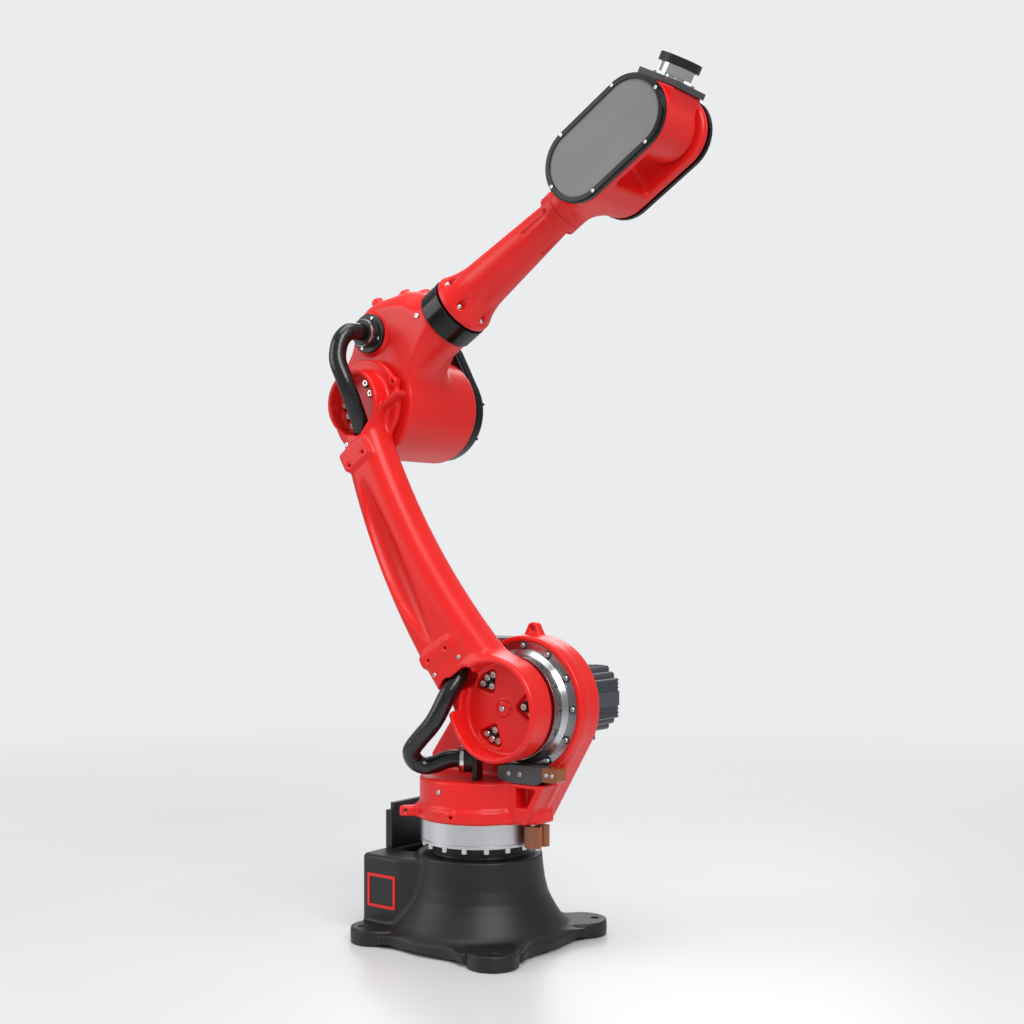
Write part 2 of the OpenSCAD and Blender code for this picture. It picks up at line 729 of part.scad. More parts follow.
module slewing_ring() color(silver) translate([0, 0, ring_z]) difference() {
  cylinder(h = ring_h, r = ring_r);
  translate([0, 0, -eps]) cylinder(h = ring_h / 2 + turn_gap + eps, r = neck_r + run_gap);
  translate([0, 0, ring_groove_z]) rotate_extrude() translate([ring_r - ring_groove, 0])
    square([2 * ring_groove, ring_groove]);
}

module slewing_bolts() color(silver) for (k = [0:ring_bolts - 1]) rotate(k * 360 / ring_bolts)
  translate([ring_bolt_pcr, 0, ring_z - ring_bolt_h]) cylinder(h = ring_bolt_h, r = ring_bolt_r);

module slewing_stop() color(bronze) translate([slew_stop_x, 0, turret_z - slew_stop_h])
  linear_extrude(slew_stop_h - stop_gap) {
  for (i = [-1, 1]) translate([0, i * (slew_lobe_w + stop_groove) / 2])
    round_rect(slew_stop_d, slew_lobe_w, stop_r);
  square([slew_stop_d - 2 * stop_groove, slew_stop_w / 2], center = true);
}

// Front foot of the shoulder web, the point where its front edge meets the disc, and that edge at a
// height.
web_foot = [web_front, turret_z];
web_touch = touch(web_foot, [shoulder_x, shoulder_z], disc_r - eps, -1);
function web_edge(z) =
  web_front + (web_touch[0] - web_front) * (z - turret_z) / (web_touch[1] - turret_z);

// Outline of the shoulder web in X and Z.
module web_outline() {
  centre = [shoulder_x, shoulder_z];
  back = [-drum_r, web_back_z];
  translate(centre) circle(disc_r, $fn = 128);
  polygon([web_foot, web_touch, centre, touch(back, centre, disc_r - eps, 1), back, [back[0], turret_z]]);
}

// Outline of the front gusset in X and Z, drawn in by a wall.
module gusset_outline(wall) {
  low = turret_z + wall;
  high = drum_top - wall / 2;
  back = gusset_back + 1.8 * wall;
  polygon([[back, low], [web_edge(low) - wall, low], [web_edge(high) - wall, high], [back, high]]);
}

module turret() color(red) difference() {
  union() {
    translate([0, 0, turret_z]) cylinder(h = flange_t, r = flange_r);
    translate([0, 0, turret_z]) cylinder(h = flange_t + drum_h, r = drum_r);
    y_slab(-web_near, web_far) web_outline();
    translate([shoulder_x, 0, shoulder_z]) y_cyl(-web_near - disc_rim, -web_near, disc_r, $fn = 128);
    y_slab(-barrel_near, -web_near) gusset_outline(0);
    translate([slew_stop_x, 0, turret_z]) linear_extrude(flange_t)
      round_rect(stop_pad_len, slew_stop_w + 2 * stop_pad_margin, stop_r);
    rotate(ear_angle) translate([0, 0, turret_z + ear_step]) linear_extrude(flange_t - 2 * ear_step)
      translate([ear_reach - ear_r, 0]) obround(ear_reach - drum_r, ear_r);
    translate([slew_motor_x, slew_motor_y, seat_z]) linear_extrude(drum_top - seat_z)
      round_rect(slew_motor_side + 2 * seat_margin, slew_motor_side + 2 * seat_margin, seat_r);
    translate([shoulder_x, (web_far - web_near - eye_t) / 2, shoulder_z + disc_r]) y_slab(0, eye_t) {
      translate([0, eye_h - eye_r]) circle(eye_r);
      polygon([[-eye_foot / 2, -eye_r], [eye_foot / 2, -eye_r], [eye_r, eye_h - eye_r],
        [-eye_r, eye_h - eye_r]]);
    }
  }
  translate([shoulder_x, 0, shoulder_z]) y_cyl(-2 * reducer_near, -web_near, reducer_flange_r +
    run_gap, $fn = 128);
  y_slab(-2 * barrel_near, -barrel_near + gusset_depth) gusset_outline(gusset_wall);
  rotate(ear_angle) translate([0, 0, turret_z + flange_t / 2])
    x_cyl(ear_reach - ear_r, ear_reach + eps, ear_hole_r);
  translate([shoulder_x, -web_near - eps, shoulder_z + disc_r + eye_h - eye_r])
    y_cyl(0, web_far + web_near, eye_hole_r);
}

// Section of a servo motor's body: crossed arms with cooling grooves in their ends.
module motor_section(side) difference() {
  union() {
    round_rect(side, motor_arm * side, motor_edge);
    round_rect(motor_arm * side, side, motor_edge);
    round_rect((1 + motor_arm) * side / 2, (1 + motor_arm) * side / 2, motor_edge);
  }
  for (a = [0:90:270], i = [-1, 1], k = [0:2]) rotate(a)
    translate([side / 2, i * (motor_arm * side / 2 - motor_edge - k * fin_pitch)])
      square(2 * fin_w, center = true);
}

// Servo motor along +Z from its flange: square flange, finned body, rear boss and a stepped plug on
// its +Y side.
module servo(side, len) {
  linear_extrude(motor_flange_t) round_rect(side, side, motor_edge);
  translate([0, 0, motor_flange_t]) linear_extrude(len - motor_boss_h - motor_flange_t)
    motor_section(side);
  translate([0, 0, len - motor_boss_h]) linear_extrude(motor_boss_h)
    round_rect(motor_arm * side, motor_arm * side, motor_edge);
  translate([-plug_w / 2, side / 2 - plug_h, len / 2]) cube([plug_w, 2 * plug_h, plug_len]);
  translate([-plug_w / 4, side / 2, len / 2 + motor_edge]) cube([plug_w / 2, 2 * plug_h, plug_len / 2]);
}

module slewing_motor() color(black) translate([slew_motor_x, slew_motor_y, drum_top])
  servo(slew_motor_side, slew_motor_len);

module shoulder_motor() color(black) translate([shoulder_x, web_far, shoulder_z]) rotate([-90, 0, 0])
  servo(motor_side, motor_len);

module shoulder_reducer() color(silver) translate([shoulder_x, 0, shoulder_z]) difference() {
  rotate([90, 0, 0]) rotate_extrude($fn = 128) polygon([
    [0, web_near], [reducer_flange_r, web_near], [reducer_flange_r, reducer_near],
      [reducer_step_r, reducer_near],
    [reducer_step_r, reducer_near + reducer_step], [reducer_r, reducer_near +
      reducer_step + reducer_taper],
    [reducer_r, barrel_near], [0, barrel_near]]);
  y_cyl(-barrel_near - eps, -barrel_near + hub_depth, hub_r + run_gap);
}

module shoulder_reducer_bolts() color(silver) translate([shoulder_x, 0, shoulder_z])
  for (k = [0:reducer_bolts - 1]) rotate([0, k * 360 / reducer_bolts, 0])
    translate([(reducer_step_r + reducer_flange_r) / 2, 0, 0])
      y_cyl(-reducer_near - reducer_bolt_h, -reducer_near, reducer_bolt_r);

// Places a child at the two bolts of the shoulder stop, on its near face.
module at_stop_bolts() for (k = [1, 2]) translate([stop_x + k * stop_len / 4, stop_y,
  drum_top + stop_h / 2]) children();

module shoulder_stop() color(grey) difference() {
  translate([stop_x, 0, drum_top]) y_slab(stop_y, stop_y + stop_t) polygon([
    [0, stop_h / 6], [stop_len / 5, 0], [stop_len * 7 / 8, 0], [stop_len, stop_h / 4], [stop_len, stop_h],
    [stop_len / 3, stop_h], [0, stop_h * 5 / 6]]);
  at_stop_bolts() y_cyl(-eps, stop_bore, stop_bolt_r + run_gap);
}

module shoulder_buffer() color(bronze) translate([stop_x + stop_len + buffer_len / 2, 0,
  drum_top + stop_h - buffer_h / 2])
  y_slab(stop_y, stop_y + stop_t) round_rect(buffer_len, buffer_h, stop_bolt_r);

module stop_bolts() color(silver) {
  at_stop_bolts() y_cyl(run_gap, stop_bore, stop_bolt_r);
  for (i = [-1, 1]) translate([slew_stop_x, i * (slew_lobe_w + stop_groove) / 2, turret_z - stop_gap])
    cylinder(h = stop_gap, r = stop_bolt_r);
}

// Places a child at the turret's hose gland, +X out of the gland.
module at_turret_gland() translate(turret_gland_at) rotate([0, 0, turret_gland_way]) children();

module turret_gland() color(black) {
  at_turret_gland() {
    x_cyl(0, gland_t, turret_gland_r);
    x_cyl(gland_t, gland_t + gland_sleeve_len, gland_sleeve_r);
    translate([-bracket_t, -bracket_w / 2, end_gap - bracket_z])
      cube([bracket_t, bracket_w, bracket_z + bracket_top - end_gap]);
  }
}

// Slanting notch in the shoulder end's rim, where the hose goes in.
module notch() {
  way = mouth_in - mouth_out;
  translate(mouth_out) rotate([0, acos(way[2] / norm(way)), atan2(way[1], way[0])]) {
    cylinder(h = norm(way), r = hose_r + mouth_gap);
    translate([0, 0, norm(way)]) sphere(hose_r + mouth_gap);
  }
}

// Corner of an extruded bow outside its round: a revolved ring about the bow's centre, at the near face.
// side is 1 for a hollow edge and -1 for a bulging one.
module bow_round(centre, edge_r, round_r, side) translate([centre[0], 0, centre[1]]) rotate([90, 0, 0])
  rotate_extrude($fn = 360) translate([edge_r, arm_near]) difference() {
    translate([side > 0 ? -eps : -round_r, -round_r]) square([round_r + eps, round_r + eps]);
    translate([side * round_r, -round_r]) circle(round_r, $fn = 32);
  }

// Bowed bar between the arm's ends: two arcs that close in towards the elbow, with rounded near edges.
module arm_bar() {
  low = [arm_half_low, 0];
  high = [arm_half_high, arm_len];
  back_low = [-arm_half_low, 0];
  back_high = [-arm_half_high, arm_len];
  front_r = bow_r(low, high, arm_bow);
  front_c = bow_centre(low, high, arm_bow);
  rear_r = bow_r(back_low, back_high, arm_bow);
  rear_c = bow_centre(back_low, back_high, arm_bow);
  difference() {
    y_slab(-arm_near, -arm_far) difference() {
      intersection() {
        translate(rear_c) circle(rear_r, $fn = 360);
        translate([-2 * arm_half_low, 0]) square([4 * arm_half_low, arm_len]);
      }
      translate(front_c) circle(front_r, $fn = 360);
    }
    bow_round(front_c, front_r, arm_round, 1);
    bow_round(rear_c, rear_r, arm_round_rear, -1);
  }
}

// Spindle along +Z: a shallow arc turned about its chord.
module spindle(len, r) {
  arc_r = bow_r([0, 0], [0, len], r);
  rotate_extrude() intersection() {
    translate([r - arc_r, 0]) circle(arc_r, $fn = 240);
    translate([0, -len / 2]) square([r, len]);
  }
}

module upper_arm() color(red) at_arm() difference() {
  union() {
    y_cyl(-arm_near, -arm_far, arm_low_r);
    translate([0, 0, arm_len]) y_cyl(-arm_near, -arm_far, arm_high_r);
    arm_bar();
    translate([0, 0, arm_len]) y_cyl(-arm_far - arm_flange_t, -arm_far, arm_flange_r);
    translate([arm_lug[0], 0, arm_lug[1]]) y_cyl(-arm_far - arm_flange_t - arm_pad_h, -arm_far,
      arm_lug_r);
    for (p = arm_pads) y_slab(-arm_near - arm_pad_h, -arm_near + arm_pad_h) translate([p[0], p[1]])
      round_rect(p[2], p[3], arm_pad_r);
  }
  difference() {
    y_cyl(-2 * arm_near, -recess_floor, recess_r);
    y_cyl(-recess_floor - arm_boss_h, -recess_floor, arm_boss_r);
  }
  for (k = [0:arm_pockets - 1]) translate(pocket_mid) rotate([0, -arm_pocket_turn - k * 360 / arm_pockets, 0])
    y_slab(-recess_floor - eps, -pocket_floor) offset(r = arm_pocket_r) polygon(pocket_corners);
  translate([0, 0, arm_len]) rotate([0, window_slant, 0]) y_slab(-2 * arm_near, -recess_floor)
    rotate(90) translate([window_reach, 0]) obround(window_len, window_r);
  translate([groove_mid[0], -arm_near - groove_lift, groove_mid[1]]) spindle(groove_len, groove_r);
  for (p = arm_pad_holes) translate([p[0], 0, p[1]]) y_cyl(-2 * arm_near, -arm_near + arm_pad_hole,
    arm_pad_hole_r);
  translate([arm_lug[0], 0, arm_lug[1]]) y_cyl(-arm_near, -arm_far + eps, arm_lug_hole_r);
  notch();
  translate([-channel_low, channel_y, 0]) rotate([0, atan((channel_low - channel_high) / arm_len), 0])
    translate([0, 0, channel_end]) cylinder(h = arm_len - 2 * channel_end, r = channel_r);
}

module shoulder_hub() color(silver) translate([shoulder_x, 0, shoulder_z])
  y_cyl(-arm_far, -barrel_near + hub_depth - turn_gap, hub_r);

module elbow_hub() color(silver) at_elbow() y_cyl(-arm_far, -barrel_near + hub_depth - turn_gap, hub_r);

module shoulder_arm_bolts() color(silver) at_arm() translate(pocket_mid)
  for (k = [0:arm_pockets - 1], p = pocket_screws)
  rotate([0, -arm_pocket_turn - k * 360 / arm_pockets, 0]) translate([p[0], 0, p[1]])
    y_cyl(-pocket_floor - arm_screw_h, -pocket_floor, arm_screw_r);

module elbow_arm_bolts() color(silver) at_arm() for (p = window_screws)
  translate([p[0], 0, arm_len + p[1]])
  y_cyl(-recess_floor - arm_screw_h, -recess_floor, arm_screw_r);

module elbow_head() color(red) at_elbow() difference() {
  union() {
    difference() {
      union() {
        y_cyl(-barrel_near, elbow_far, elbow_r);
        hull() {
          translate([0, 0, elbow_offset]) x_cyl(collar_x - collar_len / 8, collar_x,
            collar_r - collar_len / 8, $fn = 48);
          translate([head_x, 0, head_z]) y_cyl(-barrel_near, head_far, head_r, $fn = 48);
          translate([head_x + crown_x, 0, head_z + crown_z])
            y_cyl(-crown_r / 4, 3 * crown_r / 4, crown_r, $fn = 48);
        }
      }
      y_cyl(-2 * barrel_near, -barrel_near, elbow_face_r);
    }
    translate(elbow_gland_at) y_cyl(0, 2 * boss_h, gland_r);
    for (b = head_bosses) translate([b[0], b[1], head_z]) cylinder(h = b[2] - head_z, r = head_boss_r);
  }
  y_cyl(-barrel_near - eps, -barrel_near + hub_depth, hub_r + cast_gap);
}

module elbow_drive_cover() color(black) at_elbow() rotate([0, cap_slant - 90, 0]) {
  y_slab(elbow_far, elbow_far + cap_t - cap_step) translate([cap_len, 0]) obround(cap_len, cap_r);
  y_slab(elbow_far, elbow_far + cap_t) translate([cap_len, 0]) obround(cap_len, cap_r - 2 * cap_step);
}

module forearm_bearing() color(black) at_elbow() translate([0, 0, elbow_offset]) difference() {
  x_cyl(collar_x, collar_x + collar_len, collar_r);
  x_cyl(collar_x + collar_len - hub_depth, collar_x + collar_len + eps, fore_hub_r + run_gap);
}

// Places a child at the elbow's hose gland, +X out of the gland.
module at_elbow_gland() at_elbow() translate(elbow_gland_at) rotate([0, 0, -90]) children();

module elbow_gland() color(black) at_elbow_gland() {
  x_cyl(0, gland_t, gland_r);
  x_cyl(gland_t, gland_t + gland_sleeve_len, gland_sleeve_r);
}

module forearm_tube() color(red) at_elbow() translate([0, 0, elbow_offset]) difference() {
  rotate([0, 90, 0]) rotate_extrude() polygon(concat(
    [[0, bell_x], [collar_r - bell_step, bell_x]],
    [for (k = [0:bell_steps]) let (t = k / bell_steps)
      [tube_r + (collar_r - bell_step - tube_r) * pow(1 - t,
        bell_curve), bell_x + bell_rim + bell_len * t]],
    [[tube_end_r, tube_end], [neck_collar_r, tube_end + neck_collar_r - tube_end_r],
     [neck_collar_r, tube_end + neck_collar_len], [0, tube_end + neck_collar_len]]));
  for (k = [0:bell_pockets - 1]) rotate([k * 360 / bell_pockets, 0, 0]) translate([0, 0, bell_pocket_at])
    x_cyl(bell_x + bell_floor, bell_x + 2 * bell_len, bell_pocket_r);
}

module forearm_hub() color(silver) at_elbow() translate([0, 0, elbow_offset])
  x_cyl(collar_x + collar_len - hub_depth + turn_gap, bell_x, fore_hub_r);

module forearm_bolts() color(silver) at_elbow() translate([0, 0, elbow_offset])
  for (k = [0:bell_pockets - 1]) rotate([k * 360 / bell_pockets, 0, 0]) translate([0, 0, bell_pocket_at])
    x_cyl(bell_x + bell_floor, bell_x + bell_floor + arm_screw_h, bell_pocket_r - cover_step);

module wrist_fork() color(red) at_wrist() difference() {
  union() {
    y_slab(-fork_outer, fork_outer) obround(cheek_len, cheek_r);
    x_cyl(tube_end + neck_collar_len - fore_len, -cheek_len, neck_collar_r);
  }
  translate([-fork_depth, -fork_half, -cheek_r - eps])
    cube([fork_depth + cheek_r + eps, 2 * fork_half, 2 * cheek_r + 2 * eps]);
  y_cyl(-fork_outer - eps, fork_outer + eps, trunnion_r + run_gap);
}

// Frame of a wrist cover, standing on a cheek's outer face on one side, with a step in its rim.
module cover_frame(side) mirror([0, side > 0 ? 0 : 1, 0]) {
  y_slab(fork_outer, fork_outer + cover_t - cover_step) difference() {
    obround(cheek_len, cheek_r + cover_lip);
    obround(cheek_len, cheek_r - cover_edge);
  }
  y_slab(fork_outer, fork_outer + cover_t) difference() {
    obround(cheek_len, cheek_r + cover_lip - cover_step);
    obround(cheek_len, cheek_r - cover_edge);
  }
}

// Panel of a wrist cover, sunk into the frame.
module cover_panel(side) mirror([0, side > 0 ? 0 : 1, 0])
  y_slab(fork_outer, fork_outer + cover_t - cover_step)
  obround(cheek_len, cheek_r - cover_edge);

module right_cover_frame() color(black) at_wrist() cover_frame(-1);

module left_cover_frame() color(black) at_wrist() cover_frame(1);

module right_cover_panel() color(grey) at_wrist() cover_panel(-1);

module left_cover_panel() color(grey) at_wrist() cover_panel(1);

module cover_screws() color(silver) at_wrist() for (side = [0, 1]) mirror([0, side, 0])
  for (p = [[cover_screw_at, 0], [0, -cover_screw_at], [-cheek_len, -cover_screw_at],
    [-cheek_len - cover_screw_at, 0],
    [0, cover_screw_at], [-cheek_len, cover_screw_at]])
    translate([p[0], 0, p[1]]) y_cyl(fork_outer + cover_t, fork_outer +
      cover_t + cover_step, cover_screw_r);

module wrist_head() color(red) at_tool() difference() {
  union() {
    y_cyl(-tilt_half, tilt_half, tilt_r);
    y_cyl(trunnion_gap - fork_outer, fork_outer - trunnion_gap, trunnion_r);
    translate([0, -tilt_half, tilt_step - plate_side / 2])
      cube([plate_x, 2 * tilt_half, plate_side - 2 * tilt_step]);
  }
  x_cyl(plate_x - shaft_bore, plate_x + eps, tool_shaft_r + run_gap);
}

module tool_plate() color(grey) at_tool() difference() {
  translate([plate_x, -tilt_half, -plate_side / 2]) cube([plate_t, 2 * tilt_half, plate_side]);
  x_cyl(plate_x - eps, tool_plate_top + eps, tool_shaft_r + run_gap);
}

module tool_hub() color(silver) at_tool() {
  x_cyl(plate_x - shaft_depth, tool_hub_x, tool_shaft_r);
  x_cyl(tool_hub_x, tool_disc_x, tool_hub_r);
}

module tool_disc() color(black) at_tool() difference() {
  x_cyl(tool_disc_x, tool_face_x, tool_r);
  for (k = [0:3]) rotate([k * 90 + 45, 0, 0]) translate([0, 0, tool_pcr])
    x_cyl(tool_face_x - tool_hole_depth, tool_face_x + eps, tool_hole_r);
}

module lower_hose() color(black) hose(lower_route, hose_r);

module upper_hose() color(black) hose(upper_route, hose_r);

pedestal();
connector_hood();
rating_plate();
slewing_ring();
slewing_bolts();
slewing_stop();
turret();
slewing_motor();
shoulder_reducer();
shoulder_reducer_bolts();
shoulder_motor();
shoulder_stop();
shoulder_buffer();
stop_bolts();
turret_gland();
lower_hose();
upper_arm();
shoulder_hub();
elbow_hub();
shoulder_arm_bolts();
elbow_arm_bolts();
elbow_head();
elbow_drive_cover();
forearm_bearing();
elbow_gland();
upper_hose();
forearm_tube();
forearm_hub();
forearm_bolts();
wrist_fork();
right_cover_frame();
right_cover_panel();
left_cover_frame();
left_cover_panel();
cover_screws();
wrist_head();
tool_plate();
tool_hub();
tool_disc();
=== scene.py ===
"""Looks of a six-axis robot arm: cast and painted housings, machined rings, screws and braided hoses."""

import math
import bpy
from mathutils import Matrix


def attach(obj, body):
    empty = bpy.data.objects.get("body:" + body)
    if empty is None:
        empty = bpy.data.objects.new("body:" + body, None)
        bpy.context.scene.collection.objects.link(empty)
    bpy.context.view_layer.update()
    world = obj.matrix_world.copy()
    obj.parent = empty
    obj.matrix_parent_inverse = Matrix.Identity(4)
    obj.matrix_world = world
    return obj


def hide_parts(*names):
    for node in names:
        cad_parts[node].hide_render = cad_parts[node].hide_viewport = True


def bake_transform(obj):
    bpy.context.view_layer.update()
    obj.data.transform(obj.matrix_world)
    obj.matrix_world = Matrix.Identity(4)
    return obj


bl_info = {
    "name": "Robot Arm Finish",
    "version": (1, 0, 0),
    "blender": (4, 5, 0),
    "location": "View3D > Sidebar > Robot Arm",
    "description": "Dresses the packed robot arm with cast housings, paint, machined steel, screws and hoses",
    "category": "Object",
}

import bpy
import numpy as np
from bpy.props import FloatProperty, FloatVectorProperty, IntProperty, PointerProperty
from bpy.types import Operator, Panel, PropertyGroup
from mathutils import Vector

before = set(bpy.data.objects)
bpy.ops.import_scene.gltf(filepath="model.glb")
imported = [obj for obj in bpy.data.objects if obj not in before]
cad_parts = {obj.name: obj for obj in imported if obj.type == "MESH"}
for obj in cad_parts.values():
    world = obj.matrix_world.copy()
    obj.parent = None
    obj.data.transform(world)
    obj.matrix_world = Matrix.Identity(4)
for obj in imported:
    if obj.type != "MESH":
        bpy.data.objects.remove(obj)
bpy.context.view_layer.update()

# Joint places and angles of the rest pose, in millimetres and degrees, as the solids have them.
SHOULDER = (108.5, 0.0, 427.0)
ARM_LEAN, FORE_RISE, WRIST_BEND = 31.4, 32.0, 30.0
ARM_LEN, ELBOW_OFFSET, FORE_LEN = 642.0, 50.0, 733.0
MM = 0.001
NEAR, FAR, DOWN, AHEAD = (0, -1, 0), (0, 1, 0), (0, 0, -1), (1, 0, 0)


def linear(hex_value):
    """Linear red, green and blue of an sRGB hex value."""
    channels = [int(hex_value[i : i + 2], 16) / 255 for i in (1, 3, 5)]
    return tuple(c / 12.92 if c <= 0.04045 else ((c + 0.055) / 1.055) ** 2.4 for c in channels)


class ArmColours(PropertyGroup):
    enamel: FloatVectorProperty(
        name="Enamel", description="Red enamel of the castings", subtype="COLOR", default=linear("#E81E1B")
    )
    coat: FloatVectorProperty(
        name="Powder coat", description="Black coat of the pedestal", subtype="COLOR", default=linear("#111213")
    )
    steel: FloatVectorProperty(
        name="Turned steel", description="Rings and hubs of turned steel", subtype="COLOR", default=linear("#D6D8DB")
    )
    buffer: FloatVectorProperty(
        name="Buffer", description="Amber urethane of the stop buffers", subtype="COLOR", default=linear("#8E4B18")
    )
    panel: FloatVectorProperty(
        name="Cover panel", description="Satin grey panels of the wrist", subtype="COLOR", default=linear("#7E7D7D")
    )


class ArmSizes(PropertyGroup):
    grain: FloatProperty(
        name="Casting mesh", description="Mesh size of the castings, in millimetres", default=3.0, min=1.5, max=8.0
    )
    fine_grain: FloatProperty(
        name="Wrist mesh", description="Mesh size of the wrist, in millimetres", default=2.2, min=1.5, max=6.0
    )
    hose: FloatProperty(
        name="Hose diameter", description="Outer diameter of the hoses", default=0.032, unit="LENGTH"
    )
    hose_sides: IntProperty(name="Hose facets", description="Facets round a hose", default=48, min=12, max=96)


def colours():
    return bpy.context.scene.arm_colours


def sizes():
    return bpy.context.scene.arm_sizes


def heading(degrees):
    """Cosine and sine of an angle in degrees."""
    return math.cos(math.radians(degrees)), math.sin(math.radians(degrees))


def turned(degrees):
    """Axes of a frame that is turned upwards about the robot's left, as columns."""
    c, s = heading(degrees)
    return np.array([[c, 0, -s], [0, 1, 0], [s, 0, c]])


BASE = (np.zeros(3), np.eye(3))
ARM = (np.array(SHOULDER), turned(ARM_LEAN))
ELBOW = (ARM[0] + ARM[1] @ [0, 0, ARM_LEN], turned(FORE_RISE))
FORE = (ELBOW[0] + ELBOW[1] @ [0, 0, ELBOW_OFFSET], turned(FORE_RISE))
WRIST = (FORE[0] + FORE[1] @ [FORE_LEN, 0, 0], turned(FORE_RISE))
TOOL = (WRIST[0], turned(FORE_RISE + WRIST_BEND))

# Glands of the hoses: the lower one lies in the base frame, the upper one in the elbow's
TURRET_GLAND, GLAND_WAY = np.array([28.5, -49.0, 330.9]), np.array([*heading(205), 0])
ELBOW_GLAND = (74, 110)
# Where the hoses go into the upper arm, in the arm's frame
LOWER_INLET = [(-115, -116, 40), (-75, -108, 65), (-44, -81, 101)]
UPPER_INLET = [(28, -126, 664), (4, -103, 611), (-17, -84, 572)]
UPPER_END = (-21, -81, 500)


def placed(points, place):
    """Points of a frame, in millimetres, as points of the part in metres."""
    return (np.asarray(points, float) @ place[1].T + place[0]) * MM


# Distances to rounded forms, negative inside. They are joined and cut with fillets, as a pattern maker does.


def slab(outline, along, start, end, edge):
    """An outline's distance, extruded between two places, with rounded rims."""
    a = outline + edge
    b = np.abs(along - (start + end) / 2) - (end - start) / 2 + edge
    return np.minimum(np.maximum(a, b), 0) + np.hypot(np.maximum(a, 0), np.maximum(b, 0)) - edge


def rod(p, axis, centre, radius, start, end, edge=3.0):
    """A round bar along one axis."""
    u, v = [i for i in range(3) if i != axis]
    return slab(np.hypot(p[:, u] - centre[0], p[:, v] - centre[1]) - radius, p[:, axis], start, end, edge)


def block(p, centre, size, edge):
    """A box with rounded edges."""
    q = np.abs(p - np.array(centre)) - np.array(size) / 2 + edge
    return np.minimum(q.max(1), 0) + np.linalg.norm(np.maximum(q, 0), axis=1) - edge


def plate(u, v, width, height, corner):
    """Outline of a rectangle with rounded corners."""
    a, b = np.abs(u) - width / 2 + corner, np.abs(v) - height / 2 + corner
    return np.minimum(np.maximum(a, b), 0) + np.hypot(np.maximum(a, 0), np.maximum(b, 0)) - corner


def link(p, start, end, radius, end_radius=None):
    """A bar with round ends between two points, in two or three dimensions, with a taper."""
    a, b = np.array(start, float), np.array(end, float)
    t = np.clip((p - a) @ (b - a) / ((b - a) @ (b - a)), 0, 1)
    width = radius if end_radius is None else radius + (end_radius - radius) * t
    return np.linalg.norm(p - a - t[:, None] * (b - a), axis=1) - width


def outline(u, v, points):
    """Distance to a closed outline of straight lines."""
    p = np.stack([u, v], 1)
    nearest, sign = np.full(len(p), np.inf), np.ones(len(p))
    for a, b in zip(np.array(points, float), np.roll(np.array(points, float), 1, axis=0)):
        e, w = b - a, p - a
        d = w - e * np.clip((w @ e) / (e @ e), 0, 1)[:, None]
        nearest = np.minimum(nearest, (d * d).sum(1))
        c = np.stack([p[:, 1] >= a[1], p[:, 1] < b[1], e[0] * w[:, 1] > e[1] * w[:, 0]])
        sign = np.where(c.all(0) | (~c).all(0), -sign, sign)
    return sign * np.sqrt(nearest)


def joined(fillet, *forms):
    """Forms joined with a fillet."""
    total = forms[0]
    for form in forms[1:]:
        h = np.maximum(fillet - np.abs(total - form), 0) / fillet
        total = np.minimum(total, form) - h * h * fillet / 4
    return total


def both(edge, a, b):
    """What two forms share, with a rounded edge."""
    return -joined(edge, -a, -b)


def less(edge, form, *cuts):
    """A form with cuts taken out, with rounded edges."""
    for cut in cuts:
        form = both(edge, form, -cut)
    return form


def cast(name, shape, place, low, high, pitch):
    """Mesh of a rounded form within a box of its own frame, from cells that its surface crosses."""
    axes = [np.arange(a - 2 * pitch, b + 3 * pitch, pitch) for a, b in zip(low, high)]
    grid = np.stack(np.meshgrid(*axes, indexing="ij"), -1)
    n = np.array(grid.shape[:3])
    parts = np.array_split(grid.reshape(-1, 3), 1 + grid.size // 900000)
    d = np.concatenate([shape(part) for part in parts]).reshape(n)
    inside = d < 0
    corners = np.array([(i, j, k) for i in (0, 1) for j in (0, 1) for k in (0, 1)])
    filled = sum(
        inside[i : n[0] - 1 + i, j : n[1] - 1 + j, k : n[2] - 1 + k].astype(np.int8) for i, j, k in corners
    )
    crossed = (filled > 0) & (filled < 8)
    index = np.full(crossed.shape, -1)
    index[crossed] = np.arange(crossed.sum())
    cells = np.argwhere(crossed)
    total, hits = np.zeros((len(cells), 3)), np.zeros(len(cells))
    for a in corners:
        for b in corners:
            if (b - a).sum() == 1 and np.abs(b - a).sum() == 1:
                da, db = d[tuple((cells + a).T)], d[tuple((cells + b).T)]
                cut = (da < 0) != (db < 0)
                t = np.where(cut, da / np.where(cut, da - db, 1), 0)[:, None]
                total += np.where(cut[:, None], a + t * (b - a), 0)
                hits += cut
    points = np.array([ax[0] for ax in axes]) + (cells + total / hits[:, None]) * pitch
    for _ in range(3):
        f, h = shape(points), 0.1 * pitch
        slope = np.stack([shape(points + h * e) - f for e in np.eye(3)], 1) / h
        step = f[:, None] * slope / np.maximum((slope * slope).sum(1), 0.3)[:, None]
        points -= np.clip(step, -pitch / 2, pitch / 2)
    quads = []
    for axis in range(3):
        u, v = (axis + 1) % 3, (axis + 2) % 3
        first = inside.take(range(n[axis] - 1), axis)
        spots = np.argwhere(first != inside.take(range(1, n[axis]), axis))
        spots = spots[(spots[:, u] > 0) & (spots[:, v] > 0)]
        eu, ev = np.eye(3, dtype=int)[[u, v]]
        ring = np.stack([index[tuple((spots - s).T)] for s in (eu + ev, ev, 0 * eu, eu)], 1)
        back = ~first[tuple(spots.T)]
        ring[back] = ring[back][:, ::-1]
        quads.append(ring)
    return piece(name, placed(points, place), np.concatenate(quads))


